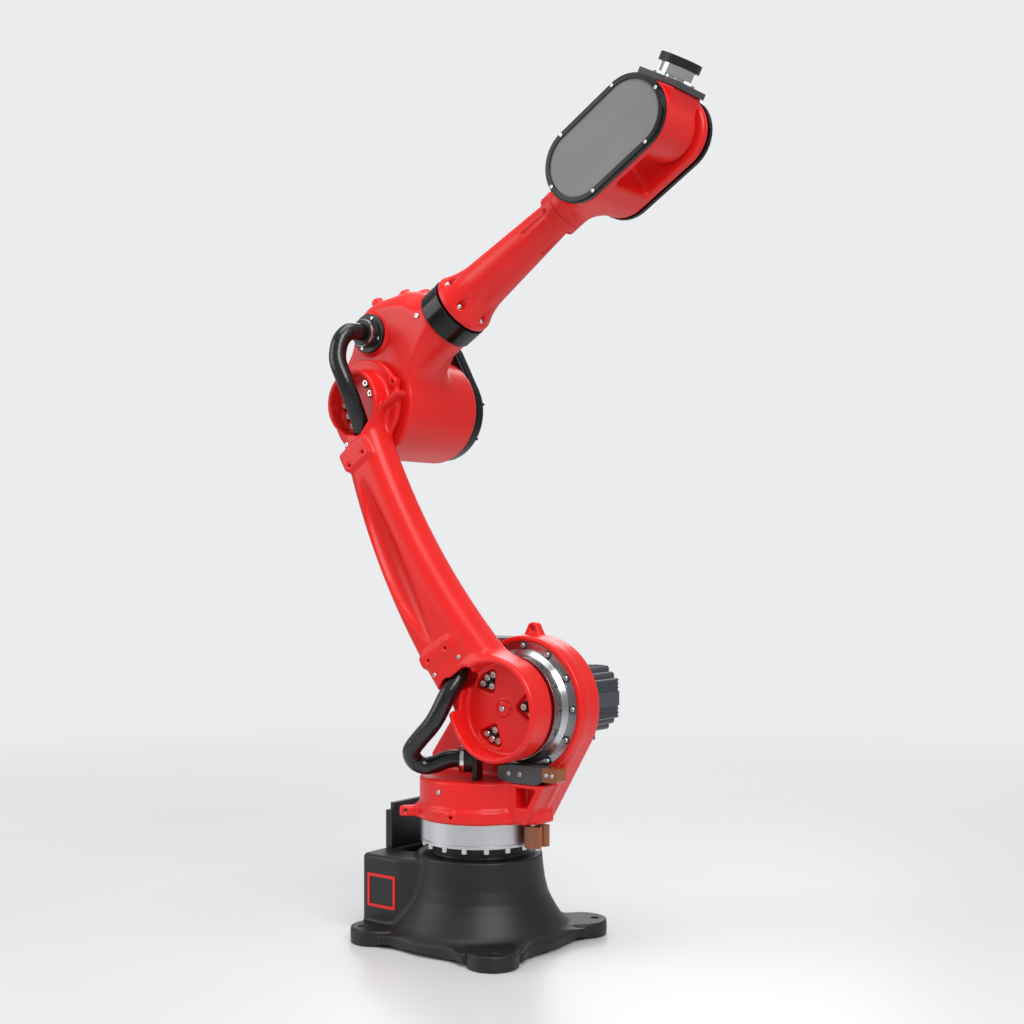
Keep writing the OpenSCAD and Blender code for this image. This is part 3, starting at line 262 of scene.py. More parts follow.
def piece(name, points, faces, smooth=True):
    """A new object from points in metres and faces."""
    mesh = bpy.data.meshes.new(name)
    mesh.from_pydata(np.asarray(points).tolist(), [], [list(f) for f in faces])
    mesh.validate()
    if smooth:
        mesh.shade_smooth()
    obj = bpy.data.objects.new(name, mesh)
    bpy.context.scene.collection.objects.link(obj)
    return obj


def facing(direction):
    """Two axes across a direction, and the direction itself, as rows."""
    way = np.array(direction, float) / np.linalg.norm(direction)
    side = np.cross(way, (0.36, 0.48, 0.8))
    side /= np.linalg.norm(side)
    return np.stack([side, np.cross(way, side), way])


def stacked(rings, closed=False):
    """Points and faces of a stack of rings of equal count, with its ends closed or run into each other."""
    sides, n = len(rings[0]), len(rings)
    faces = [
        (k * sides + j, k * sides + (j + 1) % sides, (k + 1) % n * sides + (j + 1) % sides, (k + 1) % n * sides + j)
        for k in range(n if closed else n - 1)
        for j in range(sides)
    ]
    if not closed:
        faces += [tuple(range(sides))[::-1], tuple((n - 1) * sides + j for j in range(sides))]
    return np.concatenate(rings), faces


def turning(name, profile, place, origin, direction, sides=72, closed=False):
    """A turned piece from a profile of radii and places along its axis."""
    turn = np.arange(sides) * 2 * np.pi / sides
    circle = np.stack([np.cos(turn), np.sin(turn)], 1)
    rings = [np.column_stack([r * circle, np.full(sides, z)]) for r, z in profile]
    points, faces = stacked(rings, closed)
    obj = piece(name, placed(points @ facing(direction) + np.array(origin), place), faces)
    obj.data.set_sharp_from_angle(angle=math.radians(30))
    return obj


def screws(name, spots, place):
    """Socket-head screws, one for each place, way, head radius and head height."""
    turn = np.arange(24) * np.pi / 12
    circle = np.stack([np.cos(turn), np.sin(turn)], 1)
    key = (0.52 / np.cos(turn % (np.pi / 3) - np.pi / 6))[:, None]
    points, faces = [], []
    for spot, way, radius, height in spots:
        steps = ((1, 0), (1, 1 - 0.16 * radius / height), (0.86, 1), (key, 1), (key, 0.45))
        rings = [np.column_stack([radius * width * circle, np.full(24, height * up)]) for width, up in steps]
        head, quads = stacked(rings)
        start = 24 * len(steps) * len(points)
        points.append(head @ facing(way) + np.array(spot))
        faces += [tuple(start + v for v in quad) for quad in quads]
    obj = piece(name, placed(np.concatenate(points), place), faces)
    obj.data.set_sharp_from_angle(angle=math.radians(30))
    return obj


def round_way(radius, turn, along):
    """A point about the Y axis at a radius and a turn in degrees from +X towards +Z."""
    return (radius * math.cos(math.radians(turn)), along, radius * math.sin(math.radians(turn)))


def dress(obj, material, body=None, nodes=()):
    """Gives a piece its material and body, and hides the solids that it stands for."""
    obj.data.materials.clear()
    obj.data.materials.append(material)
    if body:
        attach(obj, body)
    if nodes:
        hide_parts(*nodes)
    return obj


# Materials


def add(tree, kind, inputs=None, **settings):
    """A node with its settings, and with values or links on its inputs."""
    new = tree.nodes.new(kind)
    for key, value in settings.items():
        setattr(new, key, value)
    for key, value in (inputs or {}).items():
        if isinstance(value, bpy.types.NodeSocket):
            tree.links.new(value, new.inputs[key])
        else:
            new.inputs[key].default_value = value
    return new


def surface(name, inputs):
    """A new material with one shader, and its tree, shader and place on the piece in metres."""
    found = bpy.data.materials.get(name)
    if found:
        return found, None, None, None
    material = bpy.data.materials.new(name)
    material.use_nodes = True
    tree = material.node_tree
    tree.nodes.clear()
    shader = add(tree, "ShaderNodeBsdfPrincipled", inputs)
    add(tree, "ShaderNodeOutputMaterial", {"Surface": shader.outputs["BSDF"]})
    place = add(tree, "ShaderNodeTexCoord").outputs["Object"]
    return material, tree, shader, place


def tint(colour, factor):
    """A colour made darker or lighter, with full cover."""
    return (*[min(1, factor * c) for c in colour], 1)


def mixed(tree, factor, dark, light):
    """A colour between two others."""
    mix = add(tree, "ShaderNodeMix", {0: factor, 6: dark, 7: light}, data_type="RGBA")
    return mix.outputs[2]


def wire(tree, shader, tone, gloss, bump):
    """Links a tone, a gloss and a relief to the shader."""
    tree.links.new(tone, shader.inputs["Base Color"])
    tree.links.new(gloss.outputs["Result"], shader.inputs["Roughness"])
    tree.links.new(bump.outputs["Normal"], shader.inputs["Normal"])


def size_scale(millimetres):
    """Scale of a noise whose blotches have a real size."""
    return 1 / (millimetres * MM)


def red_enamel():
    """Two-pack red enamel sprayed on cast aluminium: an even colour with faint orange peel and a clear sheen."""
    material, tree, shader, place = surface(
        "red_enamel_sprayed_on_casting", {"Coat Weight": 0.10, "Coat Roughness": 0.14, "Specular IOR Level": 0.34}
    )
    if tree is None:
        return material
    red = colours().enamel
    cloud = add(tree, "ShaderNodeTexNoise", {"Vector": place, "Scale": size_scale(90), "Detail": 3})
    tone = mixed(tree, cloud.outputs["Fac"], tint(red, 0.90), tint(red, 1.08))
    # orange peel is about 1.5 mm across, drawn as it is
    peel = add(tree, "ShaderNodeTexNoise", {"Vector": place, "Scale": size_scale(1.6), "Detail": 2})
    rough = add(tree, "ShaderNodeMapRange", {"Value": cloud.outputs["Fac"], "To Min": 0.30, "To Max": 0.42})
    bump = add(tree, "ShaderNodeBump", {"Height": peel.outputs["Fac"], "Strength": 0.08, "Distance": 0.0003})
    wire(tree, shader, tone, rough, bump)
    return material


def grained(name, colour, rough, grain_mm, strength, rounding_mm=0.0, inputs=None):
    """A coat or moulding of one colour with a fine grain, cloudy gloss and softened edges."""
    material, tree, shader, place = surface(name, inputs or {})
    if tree is None:
        return material
    cloud = add(tree, "ShaderNodeTexNoise", {"Vector": place, "Scale": size_scale(60), "Detail": 4})
    grain = add(tree, "ShaderNodeTexNoise", {"Vector": place, "Scale": size_scale(grain_mm), "Detail": 2})
    tone = mixed(tree, cloud.outputs["Fac"], tint(colour, 0.85), tint(colour, 1.15))
    gloss = add(
        tree, "ShaderNodeMapRange", {"Value": cloud.outputs["Fac"], "To Min": rough - 0.05, "To Max": rough + 0.06}
    )
    bump_in = {"Height": grain.outputs["Fac"], "Strength": strength, "Distance": 0.0004}
    if rounding_mm:
        bump_in["Normal"] = add(tree, "ShaderNodeBevel", {"Radius": rounding_mm * MM}, samples=4).outputs["Normal"]
    bump = add(tree, "ShaderNodeBump", bump_in)
    wire(tree, shader, tone, gloss, bump)
    return material


def black_coat():
    """Black powder coat on cast iron: a fine matt grain that greys where light grazes it."""
    return grained("black_powder_coat_on_iron", colours().coat, 0.46, 0.9, 0.16)


def black_moulding():
    """Moulded black polyamide: satin, with a fine spark-eroded grain."""
    return grained("black_polyamide_moulded", linear("#131415"), 0.40, 0.7, 0.12, 1.2)


def black_anodised():
    """Black anodised aluminium of the finned motors: satin, a little metallic."""
    return grained("black_aluminium_anodised", linear("#505256"), 0.38, 0.5, 0.08, 1.0, {"Metallic": 0.35})


def dark_steel():
    """Dark grey paint on sawn and milled steel blocks."""
    return grained("dark_grey_paint_on_steel", linear("#46484B"), 0.5, 0.8, 0.12, 1.2)


def gloss_frame():
    """Polished black ABS of the wrist frames, drive cover and bearing sleeve: deep gloss with thin highlights."""
    return grained("black_abs_polished", linear("#060607"), 0.14, 1.2, 0.01, 2.0, {"Specular IOR Level": 0.36})


def grey_panel():
    """Satin grey sheet of the wrist panels: fine even texture."""
    return grained("grey_sheet_satin", colours().panel, 0.42, 0.6, 0.05, 0.8)


def amber_buffer():
    """Cast amber urethane of the stops: warm, a little translucent, with soft gloss."""
    depth = {"Coat Weight": 0.4, "Subsurface Weight": 0.2, "Subsurface Radius": (0.006, 0.003, 0.001)}
    return grained("amber_urethane_cast", colours().buffer, 0.22, 1.4, 0.06, 1.2, depth)


def stainless():
    """Polished stainless steel of the hose clamps and the tool hub: bright, with clear reflections."""
    return grained("stainless_clamp_polished", linear("#D9DADC"), 0.14, 2.0, 0.03, 0.8, {"Metallic": 1.0})


def turned_steel(axis, kind="turned", shade=1.0, polish=0.0):
    """Turned and ground steel: fine rings that follow the cutting, streaks of gloss, and red mirrored if polished."""
    material, tree, shader, place = surface(f"{kind}_steel_axis_{axis}", {"Metallic": 1.0})
    if tree is None:
        return material
    # the rings of the cutting tool are 0.2 mm apart in the real piece, drawn at 1.2 mm so that they show
    stretch = [size_scale(140)] * 3
    stretch[axis] = size_scale(1.2)
    rings = add(tree, "ShaderNodeMapping", {"Vector": place, "Scale": stretch})
    streak = add(tree, "ShaderNodeTexNoise", {"Vector": rings.outputs["Vector"], "Scale": 1.0, "Detail": 3})
    steel = colours().steel
    tone = mixed(tree, streak.outputs["Fac"], tint(steel, 0.80 * shade), tint(steel, 1.06 * shade))
    limits = {"To Min": 0.22 - polish, "To Max": 0.40 - polish}
    gloss = add(tree, "ShaderNodeMapRange", {"Value": streak.outputs["Fac"], **limits})
    edge = add(tree, "ShaderNodeBevel", {"Radius": 0.001}, samples=4)
    bump = add(
        tree,
        "ShaderNodeBump",
        {"Height": streak.outputs["Fac"], "Strength": 0.10, "Distance": 0.0002, "Normal": edge.outputs["Normal"]},
    )
    wire(tree, shader, tone, gloss, bump)
    return material


def zinc_screw():
    """Zinc-plated socket screws: bright, slightly cloudy metal."""
    return grained("zinc_plated_screw", linear("#D4D5D3"), 0.26, 2.5, 0.03, 0.0, {"Metallic": 1.0})


def braid():
    """Glossy black braided sleeve: crossing bands of yarn, about 5 mm wide, that catch the light by turns."""
    material, tree, shader, _ = surface(
        "black_braided_sleeve_glossy", {"Coat Weight": 0.5, "Coat Roughness": 0.05, "Specular IOR Level": 0.36}
    )
    if tree is None:
        return material
    turns = add(tree, "ShaderNodeUVMap", uv_map="sleeve")
    parts = add(tree, "ShaderNodeSeparateXYZ", {"Vector": turns.outputs["UV"]})
    weave = []
    for sign in (1, -1):
        slant = add(
            tree,
            "ShaderNodeMath",
            {0: parts.outputs["Y"], 1: float(sign), 2: parts.outputs["X"]},
            operation="MULTIPLY_ADD",
        )
        weave.append(add(tree, "ShaderNodeMath", {0: slant.outputs["Value"]}, operation="SINE"))
    cross = add(
        tree, "ShaderNodeMath", {0: weave[0].outputs["Value"], 1: weave[1].outputs["Value"]}, operation="MULTIPLY"
    )
    lift = add(tree, "ShaderNodeMapRange", {"Value": cross.outputs["Value"], "From Min": -1.0, "From Max": 1.0})
    tone = mixed(tree, lift.outputs["Result"], tint(linear("#050506"), 1), tint(linear("#101113"), 1))
    gloss = add(tree, "ShaderNodeMapRange", {"Value": lift.outputs["Result"], "To Min": 0.42, "To Max": 0.22})
    bump = add(tree, "ShaderNodeBump", {"Height": lift.outputs["Result"], "Strength": 0.4, "Distance": 0.0009})
    wire(tree, shader, tone, gloss, bump)
    return material


def pale_floor():
    """Pale sealed floor: nearly white, with a soft sheen, lost in the pale room a few steps away."""
    material, tree, shader, place = surface("pale_sealed_floor", {"Roughness": 0.32})
    if tree is None:
        return material
    cloud = add(tree, "ShaderNodeTexNoise", {"Vector": place, "Scale": size_scale(700), "Detail": 2})
    tone = mixed(tree, cloud.outputs["Fac"], tint(linear("#DADBDD"), 1), tint(linear("#E2E3E5"), 1))
    tree.links.new(tone, shader.inputs["Base Color"])
    away = add(tree, "ShaderNodeVectorMath", {0: place}, operation="LENGTH")
    fade = add(tree, "ShaderNodeMapRange", {"Value": away.outputs["Value"], "From Min": 0.8, "From Max": 3.4})
    clear = add(tree, "ShaderNodeBsdfTransparent")
    mix = add(
        tree, "ShaderNodeMixShader", {0: fade.outputs["Result"], 1: shader.outputs["BSDF"], 2: clear.outputs["BSDF"]}
    )
    out = next(n for n in tree.nodes if n.type == "OUTPUT_MATERIAL")
    tree.links.new(mix.outputs["Shader"], out.inputs["Surface"])
    return material


# Castings, each in the frame of its own joint, in millimetres

FLARE = [
    (0, 8), (166, 8), (166, 20), (156, 29), (149, 38), (140, 52), (131, 67), (123, 84),
    (117, 107), (113.5, 132), (111.5, 155), (0, 155),
]

FOOT_BOLT, FOOT_REACH, FOOT_RADIUS = 150, 188, 45
BOX_HALF, BOX_TAPER = 118, 20


def pedestal_form(p):
    """Flared cone on four feet, with a cable box whose sides taper into it."""
    x, y, z = np.abs(p[:, 0]), np.abs(p[:, 1]), p[:, 2]
    along, across = (x + y) / math.sqrt(2), (x - y) / math.sqrt(2)
    long, short = np.maximum(x, y), np.minimum(x, y)
    tip = np.hypot(along - FOOT_REACH, across) - FOOT_RADIUS
    web = np.maximum(248 - np.hypot(long - 400, short), np.minimum(along - FOOT_REACH, tip))
    pad = np.minimum(tip, plate(along - FOOT_REACH + 19, across, 38, 2 * FOOT_RADIUS, 1))
    flare = outline(np.hypot(p[:, 0], p[:, 1]), z, FLARE) - 1.5
    run = np.clip((p[:, 0] + 104) / 90, 0, 1)
    half = BOX_HALF - BOX_TAPER * run * run * (3 - 2 * run)
    box = slab(plate(p[:, 0] + 92, p[:, 1] * BOX_HALF / half, 184, 2 * BOX_HALF, 14), z, 10, 149, 8)
    body = joined(14, joined(9, flare, box), slab(web, z, 7, 23, 2.5))
    body = joined(2, body, slab(pad, z, 0, 27.5, 2))
    body = np.minimum(body, rod(p, 2, (0, 0), 86, 140, 200, 1))
    pocket = block(p, (-139, 0, 152), (48, 98, 76), 7)
    bolt = np.hypot(x - FOOT_BOLT, y - FOOT_BOLT) - 7
    return less(1.5, less(6, body, pocket), bolt)


TURRET_FOOT, FLANGE_TOP, DRUM_TOP = 222.7, 244.7, 295.4
DISC_RADIUS = 123.5
DISC_MID = (SHOULDER[0], SHOULDER[2])
EAR_TURN, EAR_REACH, BOSS_TURN, BOSS_UP = 228, 136, -78, 234.5
EYE = (SHOULDER[0], SHOULDER[2] + DISC_RADIUS + 12)


def web_outline(x, z):
    """Upright web of the turret: the shoulder's disc on a leaning leg."""
    disc = np.hypot(x - SHOULDER[0], z - SHOULDER[2]) - DISC_RADIUS
    leg = [(132, TURRET_FOOT), (215, 364.6), DISC_MID, (27, 520), (-111, 326), (-111, TURRET_FOOT)]
    return np.minimum(disc, outline(x, z, leg))


def turret_form(p):
    """Drum and web of the turret, with its motor lobe, ear, boss and lifting eye."""
    x, y, z = p.T
    drum = rod(p, 2, (0, 0), 109, TURRET_FOOT, DRUM_TOP, 5)
    flange = rod(p, 2, (0, 0), 114, TURRET_FOOT, FLANGE_TOP, 4)
    body = joined(9, drum, flange)
    body = joined(12, body, slab(web_outline(x, z), y, -6, 46, 6))
    body = joined(4, body, rod(p, 1, DISC_MID, DISC_RADIUS, -14, 10, 4))
    body = less(1.5, body, rod(p, 1, DISC_MID, 113.4, -60, -6, 0.5))
    leg = outline(x, z, [(84, TURRET_FOOT), (132, TURRET_FOOT), (174.5, DRUM_TOP), (84, DRUM_TOP)])
    body = joined(8, body, slab(leg, y, -46, 5, 5))
    lobe = slab(plate(x + 30, y - 105, 120, 124, 18), z, 239, DRUM_TOP, 6)
    stop_pad = slab(plate(x - 128, y, 44, 50, 9), z, TURRET_FOOT, FLANGE_TOP, 4)
    body = joined(8, body, lobe, stop_pad)
    c, s = heading(EAR_TURN)
    reach, side = x * c + y * s, y * c - x * s
    ear = slab(np.hypot(reach - np.clip(reach, 80, EAR_REACH), side) - 10, z, 224.7, 242.7, 4)
    body = joined(10, body, ear)
    c, s = heading(BOSS_TURN)
    out, off_boss = x * c + y * s, np.hypot(y * c - x * s, z - BOSS_UP)
    body = joined(6, body, slab(off_boss - 9, out, 90, 117, 3))
    lug = np.minimum(
        np.hypot(x - EYE[0], z - EYE[1]) - 11,
        outline(x, z, [(EYE[0] + a, EYE[1] + b) for a, b in ((-22, -20), (22, -20), (10.6, 3), (-10.6, 3))]),
    )
    body = joined(6, body, slab(lug, y, 11, 29, 3))
    pocket = outline(x, z, [(114, 253), (137, 253), (157, 287), (114, 287)])
    cuts = [
        slab(pocket, y, -70, -14, 4),
        rod(p, 1, EYE, 4.5, -40, 80, 1),
        slab(off_boss - 3.6, out, 100, 130, 1),
        slab(np.hypot(reach - EAR_REACH, z - 233.7) - 3.8, side, -20, 20, 1),
    ]
    return less(2.5, body, *cuts)


def arc_centre(foot, head, bow, radius):
    """Centre of the arc that bows to the rear between two points."""
    foot, head = np.array(foot, float), np.array(head, float)
    way = (head - foot) / np.linalg.norm(head - foot)
    return (foot + head) / 2 + (radius - bow) * np.array([way[1], -way[0]])


BOW_RADIUS = 1252.0
FRONT_ARC = arc_centre((76, 0), (36, ARM_LEN), 42, BOW_RADIUS)
REAR_ARC = arc_centre((-76, 0), (-36, ARM_LEN), 42, BOW_RADIUS)
NEAR_FACE, FAR_FACE, RECESS_FLOOR, PAD_FACE = -111, -51, -69, -114.2
HEAD_DROP = 11  # the near face lies this much lower at the elbow
POCKET_TURNS, POCKET_MID = (94, 214, 334), (-6, 4)
PAD_HOLES = ((-14, 540), (-54, 537), (-29, 139), (-74, 138))
LUG = (81, 636)


def arm_form(p):
    """Bar bowed between two arcs, with a groove, a shoulder recess, an elbow window and channels for the hoses."""
    x, y, z = p.T
    front = BOW_RADIUS - np.hypot(x - FRONT_ARC[0], z - FRONT_ARC[1])
    rear = np.hypot(x - REAR_ARC[0], z - REAR_ARC[1]) - BOW_RADIUS
    drop = np.clip((z - 570) / 56, 0, 1)
    near, far = NEAR_FACE + HEAD_DROP * drop * drop * (3 - 2 * drop) - y, y - FAR_FACE
    bar = np.maximum.reduce(
        [both(42, front, near), both(20, rear, near), both(12, front, far), both(12, rear, far), -z, z - ARM_LEN]
    )
    low = rod(p, 1, (0, 0), 92, NEAR_FACE, FAR_FACE, 9)
    high = rod(p, 1, (0, ARM_LEN), 62, NEAR_FACE + HEAD_DROP, FAR_FACE, 5)
    flange = rod(p, 1, (0, ARM_LEN), 84, -64, FAR_FACE, 4)
    body = joined(16, joined(16, bar, low), high)
    body = joined(8, body, flange)
    rib = block(p - np.array([66, -74, 603]), (0, 0, 0), (60, 26, 9), 3)
    lug = rod(p, 1, LUG, 9, -68, FAR_FACE, 3)
    body = joined(5, body, rib, lug)
    for u, v, w, h in ((-33, 548, 70, 40), (-52, 141, 82, 26)):
        body = joined(6, body, slab(plate(x - u, z - v, w, h, 8), y, PAD_FACE, -100, 2.5))
    t = np.clip((505 - z) / 346, 0, 1)
    arch = np.sin(np.pi * t)
    groove = np.hypot(x + 42 + 11 * t + 15 * arch, y + 118) - (2 + 26 * arch**0.8)
    body = less(6, body, np.where((z > 158) & (z < 506), groove, 30.0))
    window = link(p[:, [0, 2]], (0, ARM_LEN + 2), (-4, ARM_LEN - 8), 51)
    body = less(5, body, rod(p, 1, (0, 0), 82, -150, RECESS_FLOOR, 5), slab(window, y, -150, RECESS_FLOOR, 5))
    hub = joined(4, body, rod(p, 1, (0, 0), 14, -74, -60, 2))
    body = np.where(np.hypot(x, z) < 40, hub, body)
    px, pz = x - POCKET_MID[0], z - POCKET_MID[1]
    for turn in POCKET_TURNS:
        c, s = heading(turn)
        u, v = px * c + pz * s, pz * c - px * s
        corner = outline(u, v, [(39, 0), (60, 18), (64, 0), (60, -18)]) - 7
        body = less(3, body, slab(corner, y, -80, -57, 3))
    mouth = slab(link(p[:, [0, 2]], (-20, 70), (-106, 57), 23), y, -150, -89, 5)
    for start, end in zip(LOWER_INLET, LOWER_INLET[1:]):
        mouth = np.minimum(mouth, link(p, start, end, 18))
    channel = link(p, (-40, -83, 86), (-36, -81, 180), 23)
    route = [*UPPER_INLET, UPPER_END]
    upper = np.minimum.reduce([link(p, start, end, 20) for start, end in zip(route, route[1:])])
    holes = [rod(p, 1, hole, 3.2, -130, -100, 1) for hole in PAD_HOLES]
    holes.append(rod(p, 1, LUG, 3.2, -80, -56, 1))
    return less(2, less(4, body, mouth, channel, upper), *holes)


ELBOW_FACE, FACE_LEAN = -46, 11


def elbow_form(p):
    """Drum of the elbow with a neck to the forearm, a ridge with bosses and a near side that leans outwards."""
    x, y, z = p.T
    drum = rod(p, 1, (0, 0), 101, ELBOW_FACE, 150, 6)
    side = rod(p, 1, (76, 72), 80, ELBOW_FACE, 66, 18)
    t = np.clip((x - 90) / 112, 0, 1)
    neck = both(5, np.hypot(y, z - 58 + 8 * t) - (68 - 11.5 * t), np.maximum(x - 203, 60 - x))
    ridge = link(p, (84, 6, 132), (150, 0, 100), 46, 48)
    head = joined(34, joined(36, side, neck), ridge)
    body = joined(26, drum, head)
    body = both(3, body, ELBOW_FACE - FACE_LEAN * np.clip((x - 70) / 130, 0, 1) - y)
    seat = rod(p, 1, ELBOW_GLAND, 39, -52, -30, 3)
    body = joined(5, body, seat)
    for u, v, top in ((84, 4, 192), (150, 2, 160), (190.4, 0, 128)):
        body = joined(8, body, rod(p, 2, (u, v), 12, top - 50, top, 5))
    return body


SLEEVE = [
    (249, 0), (249, 58), (258, 58), (262, 56.5), (268, 53.6), (278, 49.6), (290, 46), (304, 43.2), (318, 42),
    (492, 31.2), (497, 33), (501, 38.8), (520, 38.8), (520, 0),
]


def forearm_form(p):
    """Sleeve with a bell, and with pockets for the screws at both ends."""
    x, y, z = p.T
    r, turn = np.hypot(y, z), np.degrees(np.arctan2(z, y))
    body = outline(x, r, SLEEVE) - 1.2
    bell = np.radians(turn % 60 - 30)
    body = less(3, body, slab(np.hypot(r * np.cos(bell) - 50.5, r * np.sin(bell)) - 6.5, x, 266, 345, 2))
    neck = np.radians((turn + 45) % 90 - 45)
    return less(2, body, slab(np.hypot(r * np.cos(neck) - 36.5, r * np.sin(neck)) - 5, x, 440, 505, 2))


def fork_form(p):
    """Two cheeks that hold the wrist head, on a round neck."""
    x, y, z = p.T
    cheeks = slab(link(p[:, [0, 2]], (0, 0), (-119, 0), 65), y, -70, 70, 9)
    body = joined(26, cheeks, rod(p, 0, (0, 0), 40, -213, -119, 2))
    body = np.maximum(body, -213 - x)
    slot = block(p, (8, 0, 0), (200, 100, 260), 12)
    return less(9, body, slot)


def wrist_form(p):
    """Drum of the wrist with a square seat for the tool plate."""
    body = joined(8, rod(p, 1, (0, 0), 54, -44.5, 44.5, 5), block(p, (30, 0, 0), (72, 89, 76), 4))
    return np.minimum(body, rod(p, 1, (0, 0), 24, -68, 68, 1))


def drive_cover_form(p):
    """Long cover with round ends and a raised face."""
    face = link(p[:, [0, 2]], (0, 0), (5.4, 77.8), 95)
    return joined(4, slab(face, p[:, 1], 150, 182, 9), slab(face + 12, p[:, 1], 160, 188, 5))


class ARM_OT_pedestal(Operator):
    """Casts the footed pedestal with its cable box"""

    bl_idname = "arm.pedestal"
    bl_label = "Pedestal"

    def execute(self, context):
        obj = cast("pedestal_casting", pedestal_form, BASE, (-190, -184, 0), (184, 184, 200), sizes().grain)
        dress(obj, black_coat(), "pedestal", ["pedestal"])
        return {"FINISHED"}


class ARM_OT_turret(Operator):
    """Casts the turret with its shoulder web, stop ear and lifting eye"""

    bl_idname = "arm.turret"
    bl_label = "Turret"

    def execute(self, context):
        obj = cast("turret_casting", turret_form, BASE, (-116, -118, 222), (234, 170, 576), sizes().grain)
        dress(obj, red_enamel(), "turret", ["turret"])
        return {"FINISHED"}


class ARM_OT_upper_arm(Operator):
    """Casts the bowed upper arm with its groove, recess and elbow window"""

    bl_idname = "arm.upper_arm"
    bl_label = "Upper arm"

    def execute(self, context):
        obj = cast("upper_arm_casting", arm_form, ARM, (-102, -116, -94), (96, -50, 730), sizes().grain)
        dress(obj, red_enamel(), "upper_arm", ["upper_arm"])
        return {"FINISHED"}


class ARM_OT_elbow(Operator):
    """Casts the elbow head and moulds its drive cover"""

    bl_idname = "arm.elbow"
    bl_label = "Elbow"

    def execute(self, context):
        obj = cast("elbow_casting", elbow_form, ELBOW, (-104, -60, -104), (206, 152, 206), sizes().grain)
        dress(obj, red_enamel(), "elbow", ["elbow_head"])
        obj = cast("drive_cover_moulding", drive_cover_form, ELBOW, (-104, 149, -100), (106, 190, 178), sizes().grain)
        dress(obj, gloss_frame(), "elbow", ["elbow_drive_cover"])
        return {"FINISHED"}


class ARM_OT_forearm(Operator):
    """Casts the forearm sleeve and the wrist fork"""

    bl_idname = "arm.forearm"
    bl_label = "Forearm"

    def execute(self, context):
        fine = sizes().fine_grain
        obj = cast("forearm_casting", forearm_form, FORE, (248, -62, -62), (522, 62, 62), fine)
        dress(obj, red_enamel(), "forearm", ["forearm_tube"])
        obj = cast("wrist_fork_casting", fork_form, WRIST, (-214, -72, -68), (68, 72, 68), fine)
        dress(obj, red_enamel(), "forearm", ["wrist_fork"])
        return {"FINISHED"}


class ARM_OT_wrist(Operator):
    """Casts the wrist head between the fork's cheeks"""

    bl_idname = "arm.wrist"
    bl_label = "Wrist"

    def execute(self, context):
        obj = cast("wrist_head_casting", wrist_form, TOOL, (-56, -69, -56), (68, 69, 56), sizes().fine_grain)
        dress(obj, red_enamel(), "wrist", ["wrist_head"])
        return {"FINISHED"}


class ARM_OT_fittings(Operator):
    """Finishes the turned, moulded and sawn fittings"""

    bl_idname = "arm.fittings"
    bl_label = "Fittings"

    def execute(self, context):
        finishes = {
            "slewing_ring": turned_steel(2),
            "shoulder_reducer": turned_steel(1, "polished", 0.72, 0.10),
            "shoulder_hub": turned_steel(1),
            "elbow_hub": turned_steel(1),
            "forearm_hub": turned_steel(0),
            "tool_hub": stainless(),
            "slewing_stop": amber_buffer(),
            "shoulder_buffer": amber_buffer(),
            "shoulder_stop": dark_steel(),
            "tool_plate": dark_steel(),
            "connector_hood": black_moulding(),
            "turret_gland": black_moulding(),
            "forearm_bearing": gloss_frame(),
            "tool_disc": black_moulding(),
            "right_cover_frame": gloss_frame(),
            "left_cover_frame": gloss_frame(),
            "right_cover_panel": grey_panel(),
            "left_cover_panel": grey_panel(),
            "slewing_motor": black_anodised(),
            "shoulder_motor": black_anodised(),
            "rating_plate": red_enamel(),
        }
        for name, material in finishes.items():
            dress(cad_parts[name], material)
        return {"FINISHED"}


